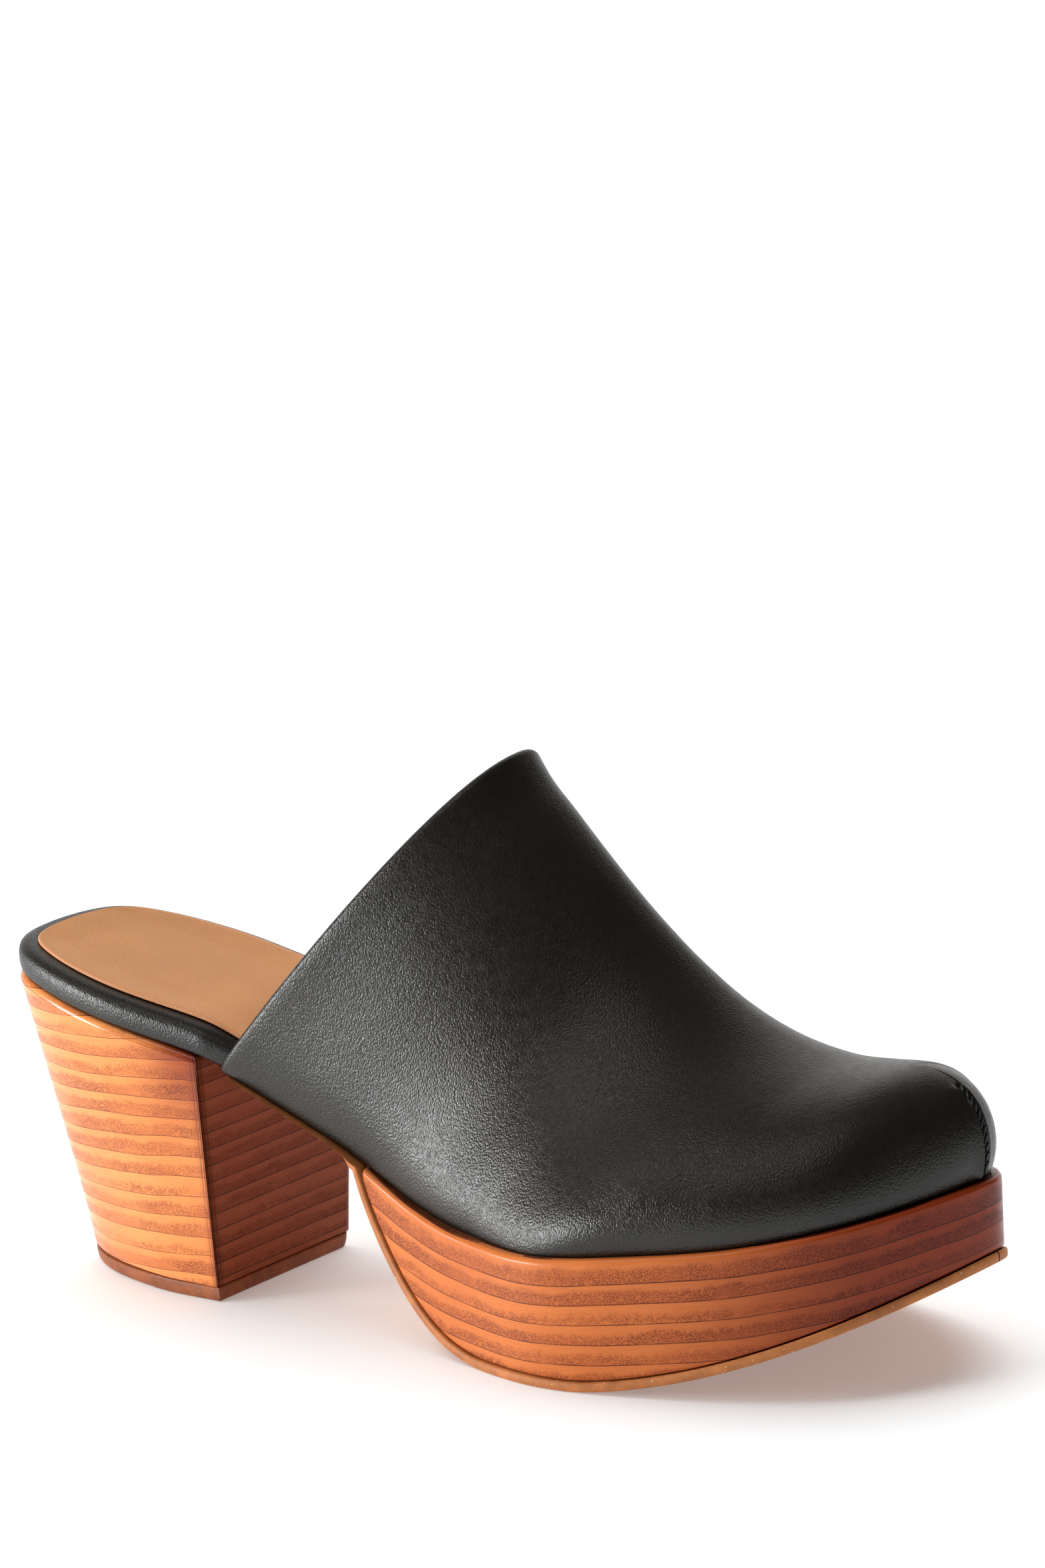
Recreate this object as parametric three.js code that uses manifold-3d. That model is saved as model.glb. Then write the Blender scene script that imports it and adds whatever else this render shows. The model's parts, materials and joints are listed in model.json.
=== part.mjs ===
// High-heeled platform clog, right foot: a leather mule upper lasted over a stacked wood platform and heel.
//
// Millimetres, +Z up.  While it is drawn, x runs forward from the back of the heel seat, y runs across
// (the outer, lateral side is negative) and z rises from the ground.  The last lines move the finished
// shoe so that its origin lies under the middle of its box.

import * as THREE from 'three';
import { mergeVertices } from 'three/addons/utils/BufferGeometryUtils.js';
import Module from 'manifold-3d';

const wasm = await Module();
wasm.setup();

// ---- driving dimensions ----

const SHOE_LENGTH = 250;         // back of the heel seat to the tip of the platform
const GAP = 0.3;                 // clearance between pieces that touch
const TOE_Y = 3.4;               // the toe tip lies a little to the inner side
const UPPER_START = 70;          // where the upper begins, in front of the heel

const LEATHER = 1.3;             // upper leather
const LINING = 0.8;
const STIFFENER = 0.6;           // toe puff and topline tapes, between leather and lining
const LASTING_MARGIN = 9;        // leather turned in under the insole board

const BOARD_BASE = 2.0;          // heights above the seat line
const BOARD_TOP = 3.8;
const WRAP_HEIGHT = 7.0;
const WRAP_LEATHER = 1.2;
const WRAP_LIP = 4.6;            // width of the wrap's turned-in lips
const SOCK_THICKNESS = 1.1;

const OUTSOLE_THICKNESS = 2.2;
const SHANK_SOLE_THICKNESS = 1.3;    // the outsole is skived thinner under the waist
const OUTSOLE_PROUD = 0.7;           // how far the outsole stands out past the platform wall
const FLAT_FRONT = 172;              // the outsole lies flat on the ground up to here
const TOE_SPRING = 24;               // height of the outsole's edge at the toe
const TOE_SPRING_POWER = 1.66;
const ARCH = { x: 148, z: 56, width: 45 };   // quarter ellipse behind the ball, down to the ground

const VENEER = 2.2;              // stacked veneer on the platform and the heel sides
const BREAST_VENEER = 1.7;
const TOP_LIFT_HEIGHT = 3.5;
const HEEL_SLOPE = 0.236;        // the heel seat falls this much for each millimetre forward

// ---- outlines and profiles ----

const LATERAL_TOE = [[88, -29.5], [112, -32], [138, -41], [165, -49], [192, -45.8], [215, -39.6],
  [233, -29.8], [245, -13.6]];
const MEDIAL_TOE = [[244.6, 15.4], [234.8, 25.8], [220, 34.2], [198, 41], [170, 42.5], [140, 36.5],
  [112, 29.5], [88, 28]];
const HEEL_SEAT = [[62.9, -30.4], [35, -31.7], [14, -26.9], [3, -17.9], [0, 0],
  [3, 17.9], [14, 26.9], [35, 31.7], [62.9, 30.4]];
const HEEL_FOOT = [[61.8, -25.7], [43.7, -23.4], [24.8, -16.5], [12.4, -7.4], [10, 0],
  [12.4, 7.4], [24.8, 16.5], [43.7, 23.4], [61.8, 25.7]];

// The outline of the whole sole, starting and ending at the back of the heel.
const SOLE_CORNERS = [...HEEL_SEAT.slice(0, 5).reverse(), ...LATERAL_TOE, [SHOE_LENGTH, TOE_Y],
  ...MEDIAL_TOE, ...HEEL_SEAT.slice(5).reverse()];

// Height of the seat line, on which the upper and the footbed sit, at [x, z].
const SEAT_LINE = [[0, 73.7], [20, 69.0], [45, 63.1], [62.9, 58.9], [70, 56.0], [84.6, 49.3], [94.3, 44.9],
  [104.5, 40.2], [113, 35.8], [122, 32.3], [135, 29.5], [148, 28.5], [163, 28.5], [181, 30.0],
  [208, 33.2], [229.5, 37.6], [250, 42.8]];

// Side view of the ridge of the upper, from the throat to the top of the toe box, at [x, z].
const RIDGE = [[133.5, 128.3], [138, 120.9], [144.5, 113.1], [152, 104.8], [159, 97.5], [166, 90.7],
  [176, 81.7], [187, 73.6], [199, 67.9], [210.5, 65.4], [221, 65.6], [231, 66.5]];
const THROAT_Y = 4;

// How far the foot of the upper stands inside the sole outline, at [x, inset].  It overhangs the waist.
const FEATHER_INSET = [[60, -1.6], [70, -1.7], [85, -1.5], [100, -0.6], [118, 0.6], [140, 1.9],
  [165, 2.4], [230, 2.4], [250, 3.2]];
// How far the insole board and the foam stand inside the sole outline, at [x, inset].
const BOARD_INSET = [[0, 2.3], [60, 2.3], [75, 4.4], [120, 5.6], [150, 7.1], [250, 7.1]];

const sample = (corners, closed, count) => new THREE.CatmullRomCurve3(
  corners.map(([x, y, z = 0]) => new THREE.Vector3(x, y, z)), closed, 'catmullrom', 0.5).getPoints(count);

// A smooth function of x through [x, value] points.
function profile(points) {
  const last = points.length - 1;
  const slopes = points.map((_, i) => {
    const [x0, v0] = points[Math.max(i - 1, 0)];
    const [x1, v1] = points[Math.min(i + 1, last)];
    return (v1 - v0) / (x1 - x0);
  });
  return (x) => {
    let i = 0;
    while (i < last - 1 && x > points[i + 1][0]) i += 1;
    const [x0, v0] = points[i];
    const [x1, v1] = points[i + 1];
    const span = x1 - x0;
    const t = THREE.MathUtils.clamp((x - x0) / span, 0, 1);
    const rise = v1 - v0;
    const bend0 = slopes[i] * span - rise;
    const bend1 = rise - slopes[i + 1] * span;
    return v0 + rise * t + t * (1 - t) * (bend0 * (1 - t) + bend1 * t);
  };
}

const seatHeight = profile(SEAT_LINE);
const featherInset = profile(FEATHER_INSET);
const boardInset = profile(BOARD_INSET);

// The sole outline moved inward by a distance, which may be a function of x.
function insetOutline(inset, samplesPerCorner = 3) {
  const points = sample(SOLE_CORNERS, true, SOLE_CORNERS.length * samplesPerCorner).slice(0, -1);
  const count = points.length;
  return points.map((point, i) => {
    const along = points[(i + 1) % count].clone().sub(points[(i + count - 1) % count]).normalize();
    const distance = typeof inset === 'function' ? inset(point.x) : inset;
    return new THREE.Vector2(point.x - along.y * distance, point.y + along.x * distance);
  });
}

// ---- solids ----

function toSolid(geometry) {
  const bare = geometry.clone();
  bare.deleteAttribute('normal');
  bare.deleteAttribute('uv');
  const merged = mergeVertices(bare, 1e-4);
  return new wasm.Manifold(new wasm.Mesh({
    numProp: 3,
    vertProperties: new Float32Array(merged.attributes.position.array),
    triVerts: new Uint32Array(merged.index.array),
  }));
}

function toGeometry(solid) {
  const mesh = solid.getMesh();
  const geometry = new THREE.BufferGeometry();
  geometry.setAttribute('position', new THREE.BufferAttribute(mesh.vertProperties, 3));
  geometry.setIndex(new THREE.BufferAttribute(mesh.triVerts, 1));
  geometry.computeVertexNormals();
  return geometry;
}

// An upright prism that stands on a plan outline.
function planPrism(outline, low = -5, high = 140) {
  const section = new wasm.CrossSection([outline.map(({ x, y }) => [x, y])], 'Positive');
  return section.extrude(high - low).translate([0, 0, low]);
}

// A prism right across the shoe that fills a side-view outline of [x, z] points.
function sidePrism(outline, halfWidth = 70) {
  const shape = new THREE.Shape(outline.map(([x, z]) => new THREE.Vector2(x, z)));
  const geometry = new THREE.ExtrudeGeometry(shape, { depth: 2 * halfWidth, bevelEnabled: false });
  geometry.translate(0, 0, -halfWidth);
  geometry.rotateX(Math.PI / 2);
  return toSolid(geometry);
}

// A side-view outline between two lines, each given by its height at x.
function band(from, to, lower, upper, steps = 30) {
  const stations = Array.from({ length: steps + 1 }, (_, i) => from + (to - from) * i / steps);
  return [...stations.map((x) => [x, lower(x)]), ...stations.reverse().map((x) => [x, upper(x)])];
}

const aboveSeat = (height) => (x) => seatHeight(x) + height;

// A flat layer that follows the seat line between two heights above it.
function seatLayer(outline, low, high, from = -5, to = SHOE_LENGTH + 5) {
  return planPrism(outline).intersect(sidePrism(band(from, to, aboveSeat(low), aboveSeat(high))));
}

// A closed body through rings of equal length, closed at each end by a flat cap.
function loft(rings) {
  const count = rings[0].length;
  const points = rings.flat();
  const index = [];
  for (let ring = 0; ring + 1 < rings.length; ring += 1) {
    for (let i = 0; i < count; i += 1) {
      const a = ring * count + i;
      const b = ring * count + (i + 1) % count;
      index.push(a, b, b + count, a, b + count, a + count);
    }
  }
  const flat = rings[0].map((point) => new THREE.Vector2(point.x, point.y));
  const top = (rings.length - 1) * count;
  for (const [a, b, c] of THREE.ShapeUtils.triangulateShape(flat, [])) {
    index.push(a, c, b, top + a, top + b, top + c);
  }
  const geometry = new THREE.BufferGeometry().setFromPoints(points);
  geometry.setIndex(index);
  return geometry;
}

// A plate made from an open skin: it fills the space between two depths behind the skin.
function thicken(skin, near, far) {
  const sheet = mergeVertices(skin, 1e-3);
  sheet.computeVertexNormals();
  const { position, normal } = sheet.attributes;
  const count = position.count;
  const points = [near, far].flatMap((depth) => Array.from({ length: count }, (_, i) => (
    new THREE.Vector3().fromBufferAttribute(normal, i).multiplyScalar(-depth)
      .add(new THREE.Vector3().fromBufferAttribute(position, i)))));
  const index = [];
  const edges = new Map();
  for (let t = 0; t < sheet.index.count; t += 3) {
    const [a, b, c] = [0, 1, 2].map((k) => sheet.index.getX(t + k));
    if (a === b || b === c || c === a) continue;
    index.push(a, b, c, a + count, c + count, b + count);
    for (const [from, to] of [[a, b], [b, c], [c, a]]) {
      if (!edges.delete(`${to} ${from}`)) edges.set(`${from} ${to}`, [from, to]);
    }
  }
  for (const [from, to] of edges.values()) {
    index.push(to, from, from + count, to, from + count, to + count);
  }
  const geometry = new THREE.BufferGeometry().setFromPoints(points);
  geometry.setIndex(index);
  geometry.computeVertexNormals();
  return geometry;
}

// ---- the skin of the upper ----

const RIBS = 24;                 // ribs on each side of the upper
const ROWS = 8;                  // steps up each rib
const WRAP_END = 0.11;           // share of the foot line beside the footbed wrap
const SIDES = { lateral: { sign: -1 }, medial: { sign: 1 } };

// Each half of the foot line runs from its rear corner to the toe tip.
{
  const line = insetOutline(featherInset, 8);
  const toe = line.reduce((best, point, i) => (point.x > line[best].x ? i : best), 0);
  const halves = { lateral: line.slice(0, toe + 1), medial: line.slice(toe).reverse() };
  for (const [side, points] of Object.entries(halves)) {
    const used = points.filter((point) => point.x > UPPER_START);
    SIDES[side].foot = new THREE.CatmullRomCurve3(
      used.map(({ x, y }) => new THREE.Vector3(x, y, seatHeight(x) + GAP)), false, 'catmullrom', 0.5);
  }
}

const ridgeHeight = profile(RIDGE);
const RIDGE_START = RIDGE[0][0];
const RIDGE_END = RIDGE[RIDGE.length - 1][0];
const { smoothstep, lerp } = THREE.MathUtils;

// How full the rib is, at the foot and at the ridge, changes from the throat to the toe.
const footReach = (u) => 0.42 + 0.16 * smoothstep(u, 0.6, 1);
const ridgeReach = {
  lateral: (u) => 0.78 - 0.18 * smoothstep(u, 0, 0.3) + 0.24 * smoothstep(u, 0.7, 1),
  medial: (u) => 0.68 - 0.12 * smoothstep(u, 0, 0.3) + 0.32 * smoothstep(u, 0.6, 1),
};
const flare = {
  lateral: (u) => lerp(lerp(0.03, 0.13, smoothstep(u, 0, 0.35)), 0.09, smoothstep(u, 0.8, 1)),
  medial: (u) => lerp(lerp(0.03, 0.19, smoothstep(u, 0, 0.6)), 0.09, smoothstep(u, 0.88, 1)),
};

// The level direction out of the shoe, square to the foot line.  Both sides share the one at the toe tip.
function outwardAt(side, u) {
  if (u === 1) return new THREE.Vector3(1, 0, 0);
  const { sign, foot } = SIDES[side];
  const along = foot.getTangentAt(u);
  return new THREE.Vector3(-along.y * sign, along.x * sign, 0).normalize();
}

// The rib of the upper at a share u of the foot line: a cubic from the foot up to the ridge.
// The first pair of ribs leans back and is the topline; the last pair meets at the toe tip.
function rib(side, u) {
  const base = SIDES[side].foot.getPointAt(u);
  const x = lerp(RIDGE_START, RIDGE_END, Math.sin(u * Math.PI / 2));
  const top = new THREE.Vector3(x, lerp(THROAT_Y, TOE_Y, u), ridgeHeight(x));
  const slope = x > RIDGE_END - 1 ? 0 : ridgeHeight(x + 0.5) - ridgeHeight(x - 0.5);
  const toeward = smoothstep(u, 0.55, 1);
  const height = top.z - base.z;
  const lean = (top.x - base.x) * (1 - toeward) * lerp(0.68, 0.92, smoothstep(u, 0, 0.3));
  const footHandle = new THREE.Vector3(lean, 0, height).multiplyScalar(footReach(u))
    .addScaledVector(outwardAt(side, u), flare[side](u) * height);
  const ahead = (base.x - top.x) * toeward;
  const ridgeHandle = new THREE.Vector3(ahead, base.y - top.y, slope * ahead)
    .multiplyScalar(ridgeReach[side](u));
  return new THREE.CubicBezierCurve3(base, footHandle.add(base), ridgeHandle.add(top), top);
}

// The outside of the upper between two ribs on each side and two shares of their height.
// With a margin, the skin also turns in under the foot.
function upperSkin({ from, to, low, high, ribs, rows, margin = 0 }) {
  const points = [];
  for (const [side, { sign }] of Object.entries(SIDES)) {
    const columns = Array.from({ length: ribs + 1 }, (_, i) => {
      const u = from + (to - from) * i / ribs;
      const curve = rib(side, u);
      const start = typeof low === 'function' ? low(curve) : low;
      const column = Array.from({ length: rows + 1 }, (__, j) => (
        curve.getPoint(start + (high - start) * j / rows)));
      if (margin) {
        const width = margin * lerp(0.22, 1, smoothstep(u, WRAP_END, 2 * WRAP_END));
        const inner = outwardAt(side, u).multiplyScalar(-width).add(column[0]);
        inner.z = seatHeight(inner.x) + GAP;
        column.unshift(inner);
      }
      return column;
    });
    for (let i = 0; i < ribs; i += 1) {
      for (let j = 0; j + 1 < columns[0].length; j += 1) {
        const [a, b, c, d] = [columns[i][j], columns[i + 1][j], columns[i + 1][j + 1], columns[i][j + 1]];
        points.push(...(sign < 0 ? [a, b, c, a, c, d] : [a, c, b, a, d, c]));
      }
    }
  }
  return new THREE.BufferGeometry().setFromPoints(points);
}

const PUFF_DEPTH = LEATHER + 2 * GAP;
const LINING_DEPTH = PUFF_DEPTH + STIFFENER + 2.5 * GAP;

const upperLeather = () => thicken(upperSkin(
  { from: 0, to: 1, low: 0, high: 1, ribs: RIBS, rows: ROWS, margin: LASTING_MARGIN }), 0, LEATHER);

// The lining starts a little above the insole, clear of the turned-in leather.
const liningStart = (curve) => 2.3 * (LEATHER + GAP) / curve.getLength();
const upperLining = () => thicken(upperSkin(
  { from: 0, to: 1, low: liningStart, high: 1, ribs: RIBS, rows: ROWS }),
LINING_DEPTH, LINING_DEPTH + LINING);

const toePuff = () => thicken(upperSkin(
  { from: 18 / RIBS, to: 1, low: 1 / ROWS, high: 1, ribs: 6, rows: ROWS - 1 }),
PUFF_DEPTH, PUFF_DEPTH + STIFFENER);

const toplineTape = () => thicken(upperSkin(
  { from: 0, to: 1 / RIBS, low: 2 / ROWS, high: 1, ribs: 1, rows: ROWS - 2 }),
PUFF_DEPTH, PUFF_DEPTH + STIFFENER);

// One thread zigzags over the dart at the toe tip, just proud of the leather.
function toeSeamThread() {
  const stitches = 11;
  const curve = rib('lateral', 1);
  const points = Array.from({ length: stitches + 1 }, (_, i) => {
    const share = 0.04 + 0.6 * i / stitches;
    const point = curve.getPoint(share);
    const slope = curve.getTangent(share);
    const out = new THREE.Vector3(slope.z, 0, -slope.x);
    point.addScaledVector(out, 0.75);
    point.y += i % 2 ? 0.9 : -0.9;
    return point;
  });
  const path = new THREE.CurvePath();
  points.slice(1).forEach((point, i) => path.add(new THREE.LineCurve3(points[i], point)));
  const section = new THREE.Shape().absarc(0, 0, 0.35, 0, 2 * Math.PI);
  return new THREE.ExtrudeGeometry(section,
    { steps: stitches * 2, extrudePath: new THREE.CatmullRomCurve3(points), curveSegments: 3 });
}

// ---- footbed ----

const boardOutline = () => insetOutline(boardInset);

const wrapOutline = (inset) => insetOutline((x) => inset + THREE.MathUtils.clamp((x - 64) * 0.22, 0, 2.6));

function footbedWrap() {
  const body = seatLayer(wrapOutline(0.6), GAP, WRAP_HEIGHT, -5, 88);
  const channel = seatLayer(wrapOutline(0.6 + WRAP_LEATHER), GAP + WRAP_LEATHER,
    WRAP_HEIGHT - WRAP_LEATHER, -5, 95);
  const window = seatLayer(wrapOutline(0.6 + WRAP_LIP), -1, WRAP_HEIGHT + 1, -5, 95);
  return toGeometry(body.subtract(channel).subtract(window));
}

const footbedFoam = () => toGeometry(seatLayer(insetOutline((x) => boardInset(x) + 0.9),
  BOARD_TOP + GAP, WRAP_HEIGHT - WRAP_LEATHER - GAP));

// The sock lies on the wrap's lip at the heel and straight on the foam further forward.
function sockLining() {
  const lift = profile([[0, WRAP_HEIGHT + GAP], [88, WRAP_HEIGHT + GAP], [100, WRAP_HEIGHT - WRAP_LEATHER],
    [250, WRAP_HEIGHT - WRAP_LEATHER]]);
  const lower = (x) => seatHeight(x) + lift(x);
  const plan = planPrism(insetOutline(profile([[0, 5.0], [60, 5.0], [80, 6.4], [130, 7.6], [250, 8.8]])));
  return toGeometry(plan.intersect(sidePrism(band(-5, 255, lower, (x) => lower(x) + SOCK_THICKNESS))));
}

const bottomFiller = () => toGeometry(seatLayer(insetOutline(13.5), 0.4, 1.5, 132, 232));

// ---- fasteners ----

// A round fastener, head up, whose head top lies at z = 0.  A clearance makes its cutter.
function fastener({ headRadius, headHeight, radius, length }, clearance = 0) {
  const top = clearance ? 3 : 0;
  const [wide, narrow, under] = [headRadius + clearance, radius + clearance, -headHeight - clearance];
  const outline = [[0, top], [wide, top], [wide, under], [narrow, under], [narrow, -length],
    [0, -length - narrow]];
  const points = outline.map(([x, z]) => new THREE.Vector2(x, z)).reverse();
  return new THREE.LatheGeometry(points, 12).rotateX(Math.PI / 2);
}

const NAIL = { headRadius: 2.2, headHeight: 0.9, radius: 1.0, length: 19 };
const SCREW = { headRadius: 4.2, headHeight: 1.1, radius: 2.2, length: 34 };
const RIVET = { headRadius: 2.6, headHeight: 0.7, radius: 1.3, length: 2.4 };
const NAILS = [[20, -15], [20, 15], [48, -17.5], [48, 17.5]];

// Stands a fastener on the insole board at (x, y), square to the seat.
function onBoard(geometry, x, y) {
  const tilt = Math.atan(seatHeight(x - 0.5) - seatHeight(x + 0.5));
  return geometry.rotateY(tilt).translate(x, y, seatHeight(x) + (BOARD_TOP - 0.15) / Math.cos(tilt));
}

const boardFasteners = {
  heel_nail_1: [NAIL, ...NAILS[0]],
  heel_nail_2: [NAIL, ...NAILS[1]],
  heel_nail_3: [NAIL, ...NAILS[2]],
  heel_nail_4: [NAIL, ...NAILS[3]],
  heel_screw: [SCREW, 33, 0],
  shank_rivet_rear: [RIVET, 54, 0],
  shank_rivet_front: [RIVET, 120, 0],
};

const PIN = { radius: 1.5, low: 1.2, high: 13 };
const PINS = [[24, 0], [50, -13], [50, 13]];

function pinAt(x, y, clearance = 0) {
  const height = PIN.high - PIN.low + 2 * clearance;
  return new THREE.CylinderGeometry(PIN.radius + clearance, PIN.radius + clearance, height, 12)
    .rotateX(Math.PI / 2).translate(x, y, (PIN.high + PIN.low) / 2);
}

function cutFasteners(solid) {
  return Object.values(boardFasteners).reduce((cut, [size, x, y]) => (
    cut.subtract(toSolid(onBoard(fastener(size, GAP), x, y)))), solid);
}

const cutPins = (solid) => PINS.reduce((cut, [x, y]) => cut.subtract(toSolid(pinAt(x, y, GAP))), solid);

const insoleBoard = () => toGeometry(cutFasteners(seatLayer(boardOutline(), BOARD_BASE, BOARD_TOP)));

function shank() {
  const halfWidth = 6.5;
  const plan = new THREE.Shape();
  plan.absarc(26, 0, halfWidth, Math.PI / 2, 3 * Math.PI / 2, false);
  plan.absarc(121, 0, halfWidth, -Math.PI / 2, Math.PI / 2, false);
  const strip = planPrism(plan.getPoints(6));
  return toGeometry(cutFasteners(strip.intersect(
    sidePrism(band(15, 132, aboveSeat(0.4), aboveSeat(1.6), 20)))));
}

// ---- platform and outsole ----

// The underside of the outsole in side view, from the toe back to the heel breast.
function bottomLine() {
  const line = [];
  const front = SHOE_LENGTH + OUTSOLE_PROUD;
  const toeSteps = 10;
  for (let i = 0; i <= toeSteps; i += 1) {
    const x = front - (front - FLAT_FRONT) * i / toeSteps;
    line.push([x, TOE_SPRING * ((x - FLAT_FRONT) / (SHOE_LENGTH - FLAT_FRONT)) ** TOE_SPRING_POWER]);
  }
  const cornerX = 105.6;
  const archSteps = 10;
  const archEnd = Math.acos((ARCH.x - cornerX) / ARCH.width);
  for (let i = 0; i <= archSteps; i += 1) {
    const angle = Math.PI / 2 + (archEnd - Math.PI / 2) * i / archSteps;
    line.push([ARCH.x - ARCH.width * Math.cos(angle), ARCH.z * (1 - Math.sin(angle))]);
  }
  for (const x of [99, 92, 84, 74, 64.2]) line.push([x, seatHeight(x) - GAP - SHANK_SOLE_THICKNESS]);
  return line;
}

// A line moved up from the underside of the outsole, square to it; thinner behind the arch.
function liftedLine(line, thickness, rearThickness) {
  return line.map(([x, z], i) => {
    const [x0, z0] = line[Math.max(i - 1, 0)];
    const [x1, z1] = line[Math.min(i + 1, line.length - 1)];
    const length = Math.hypot(x1 - x0, z1 - z0);
    const depth = THREE.MathUtils.mapLinear(THREE.MathUtils.clamp(x, 100, 112), 100, 112,
      rearThickness, thickness);
    return [x + (z1 - z0) / length * depth, z - (x1 - x0) / length * depth];
  });
}

function outsole() {
  const line = bottomLine();
  const top = liftedLine(line, OUTSOLE_THICKNESS, SHANK_SOLE_THICKNESS);
  const side = sidePrism([...line, ...top.reverse()]);
  const proud = profile([[60, 0.4], [95, 0.4], [112, -OUTSOLE_PROUD], [250, -OUTSOLE_PROUD]]);
  return toGeometry(planPrism(insetOutline(proud)).intersect(side));
}

// The block over the outsole: everything between the outsole and the seat line, within a plan outline.
function platformBlock(outline, top) {
  const line = bottomLine().filter(([x]) => x > 104);
  const floor = liftedLine(line, OUTSOLE_THICKNESS + GAP, SHANK_SOLE_THICKNESS + GAP);
  const rear = floor[floor.length - 1][0];
  const steps = 26;
  const lid = Array.from({ length: steps + 1 }, (_, i) => {
    const x = rear + (SHOE_LENGTH + 3 - rear) * i / steps;
    return [x, seatHeight(x) + top];
  });
  return planPrism(outline).intersect(sidePrism([...floor, ...lid]));
}

const platformCover = () => toGeometry(platformBlock(insetOutline(0), 0)
  .subtract(planPrism(insetOutline(VENEER))));
const platformCore = () => toGeometry(platformBlock(insetOutline(VENEER + GAP), -0.1));

// ---- heel ----

// The heel's wall, some way inside its outer face: at a height above the ground, or at the seat plus a lift.
function heelRing(inset, { height, lift = 0 }) {
  const count = 32;
  const seat = sample(HEEL_SEAT, false, count);
  const foot = sample(HEEL_FOOT, false, count);
  const seatPlane = (x) => SEAT_LINE[0][1] - HEEL_SLOPE * x;
  const ring = seat.map(({ x, y }, i) => new THREE.Vector3().lerpVectors(foot[i],
    new THREE.Vector3(x, y, seatPlane(x)), height === undefined ? 1 : height / seatPlane(x)));
  return ring.map((point, i) => {
    const along = ring[Math.min(i + 1, count)].clone().sub(ring[Math.max(i - 1, 0)]).normalize();
    const x = point.x + along.y * inset;
    const z = height === undefined ? seatPlane(x) + lift : height;
    return new THREE.Vector3(x, point.y - along.x * inset, z);
  }).reverse();
}

const heelBody = (inset, low, lift = 0) => (
  toSolid(loft([heelRing(inset, { height: low }), heelRing(inset, { lift })])));

// Everything behind the heel breast, by a distance.
const behindBreast = (distance) => sidePrism(
  [[-10, -5], [61.7 - distance, -5], [63.2 - distance, 75], [-10, 75]]);

const HEEL_BASE = TOP_LIFT_HEIGHT + GAP;

const heelSideCover = () => toGeometry(heelBody(0, HEEL_BASE)
  .subtract(heelBody(VENEER, HEEL_BASE - 1, 1)).intersect(behindBreast(BREAST_VENEER + GAP)));
const heelBreastCover = () => toGeometry(heelBody(0, HEEL_BASE).subtract(behindBreast(BREAST_VENEER)));
const heelCore = () => toGeometry(cutPins(cutFasteners(
  heelBody(VENEER + GAP, HEEL_BASE, -0.1).intersect(behindBreast(BREAST_VENEER + GAP)))));
const heelTopLift = () => toGeometry(cutPins(toSolid(loft(
  [heelRing(0, { height: 0 }), heelRing(0, { height: TOP_LIFT_HEIGHT })]))));

// ---- assembly ----

const finish = (color, roughness, metalness = 0) => (
  new THREE.MeshStandardMaterial({ color, roughness, metalness }));

const BLACK_LEATHER = finish(0x2a2725, 0.45);
const TAN_LEATHER = finish(0xce986a, 0.6);
const PALE_LINING = finish(0xb98a5e, 0.8);
const STACK = finish(0xc66e3f, 0.4);
const DARK_STACK = finish(0x8a4527, 0.45);
const WOOD = finish(0xc9a77c, 0.8);
const RUBBER = finish(0xad764f, 0.7);
const FIBRE = finish(0x9a7a55, 0.9);
const FOAM = finish(0xd9cfb8, 0.95);
const CORK = finish(0xb08a5c, 0.95);
const STEEL = finish(0x9a9da1, 0.35, 1);
const WHITE_STIFFENER = finish(0xd8d4cb, 0.8);

const clog = new THREE.Group();

function add(name, geometry, material) {
  const mesh = new THREE.Mesh(geometry, material);
  mesh.name = name;
  clog.add(mesh);
}

add('upper_leather', upperLeather(), BLACK_LEATHER);
add('upper_lining', upperLining(), PALE_LINING);
add('toe_puff', toePuff(), WHITE_STIFFENER);
add('topline_tape', toplineTape(), WHITE_STIFFENER);
add('toe_seam_thread', toeSeamThread(), BLACK_LEATHER);
add('sock_lining', sockLining(), TAN_LEATHER);
add('footbed_foam', footbedFoam(), FOAM);
add('footbed_wrap', footbedWrap(), BLACK_LEATHER);
add('insole_board', insoleBoard(), FIBRE);
add('shank', shank(), STEEL);
add('bottom_filler', bottomFiller(), CORK);
add('platform_core', platformCore(), WOOD);
add('platform_cover', platformCover(), STACK);
add('outsole', outsole(), RUBBER);
add('heel_core', heelCore(), WOOD);
add('heel_side_cover', heelSideCover(), STACK);
add('heel_breast_cover', heelBreastCover(), DARK_STACK);
add('heel_top_lift', heelTopLift(), RUBBER);
for (const [name, [size, x, y]] of Object.entries(boardFasteners)) {
  add(name, onBoard(fastener(size), x, y), STEEL);
}
PINS.forEach(([x, y], i) => add(`top_lift_pin_${i + 1}`, pinAt(x, y), STEEL));

// Put the origin under the middle of the shoe's box.
const box = new THREE.Box3().setFromObject(clog, true);
clog.position.set(-(box.min.x + box.max.x) / 2, -(box.min.y + box.max.y) / 2, 0);

export default clog;
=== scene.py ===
"""A right-foot wooden clog: black leather upper, stacked-wood platform and block heel, tan footbed."""
import json
import math

import bmesh
import bpy
import numpy as np
from mathutils import Matrix, Vector


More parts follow.
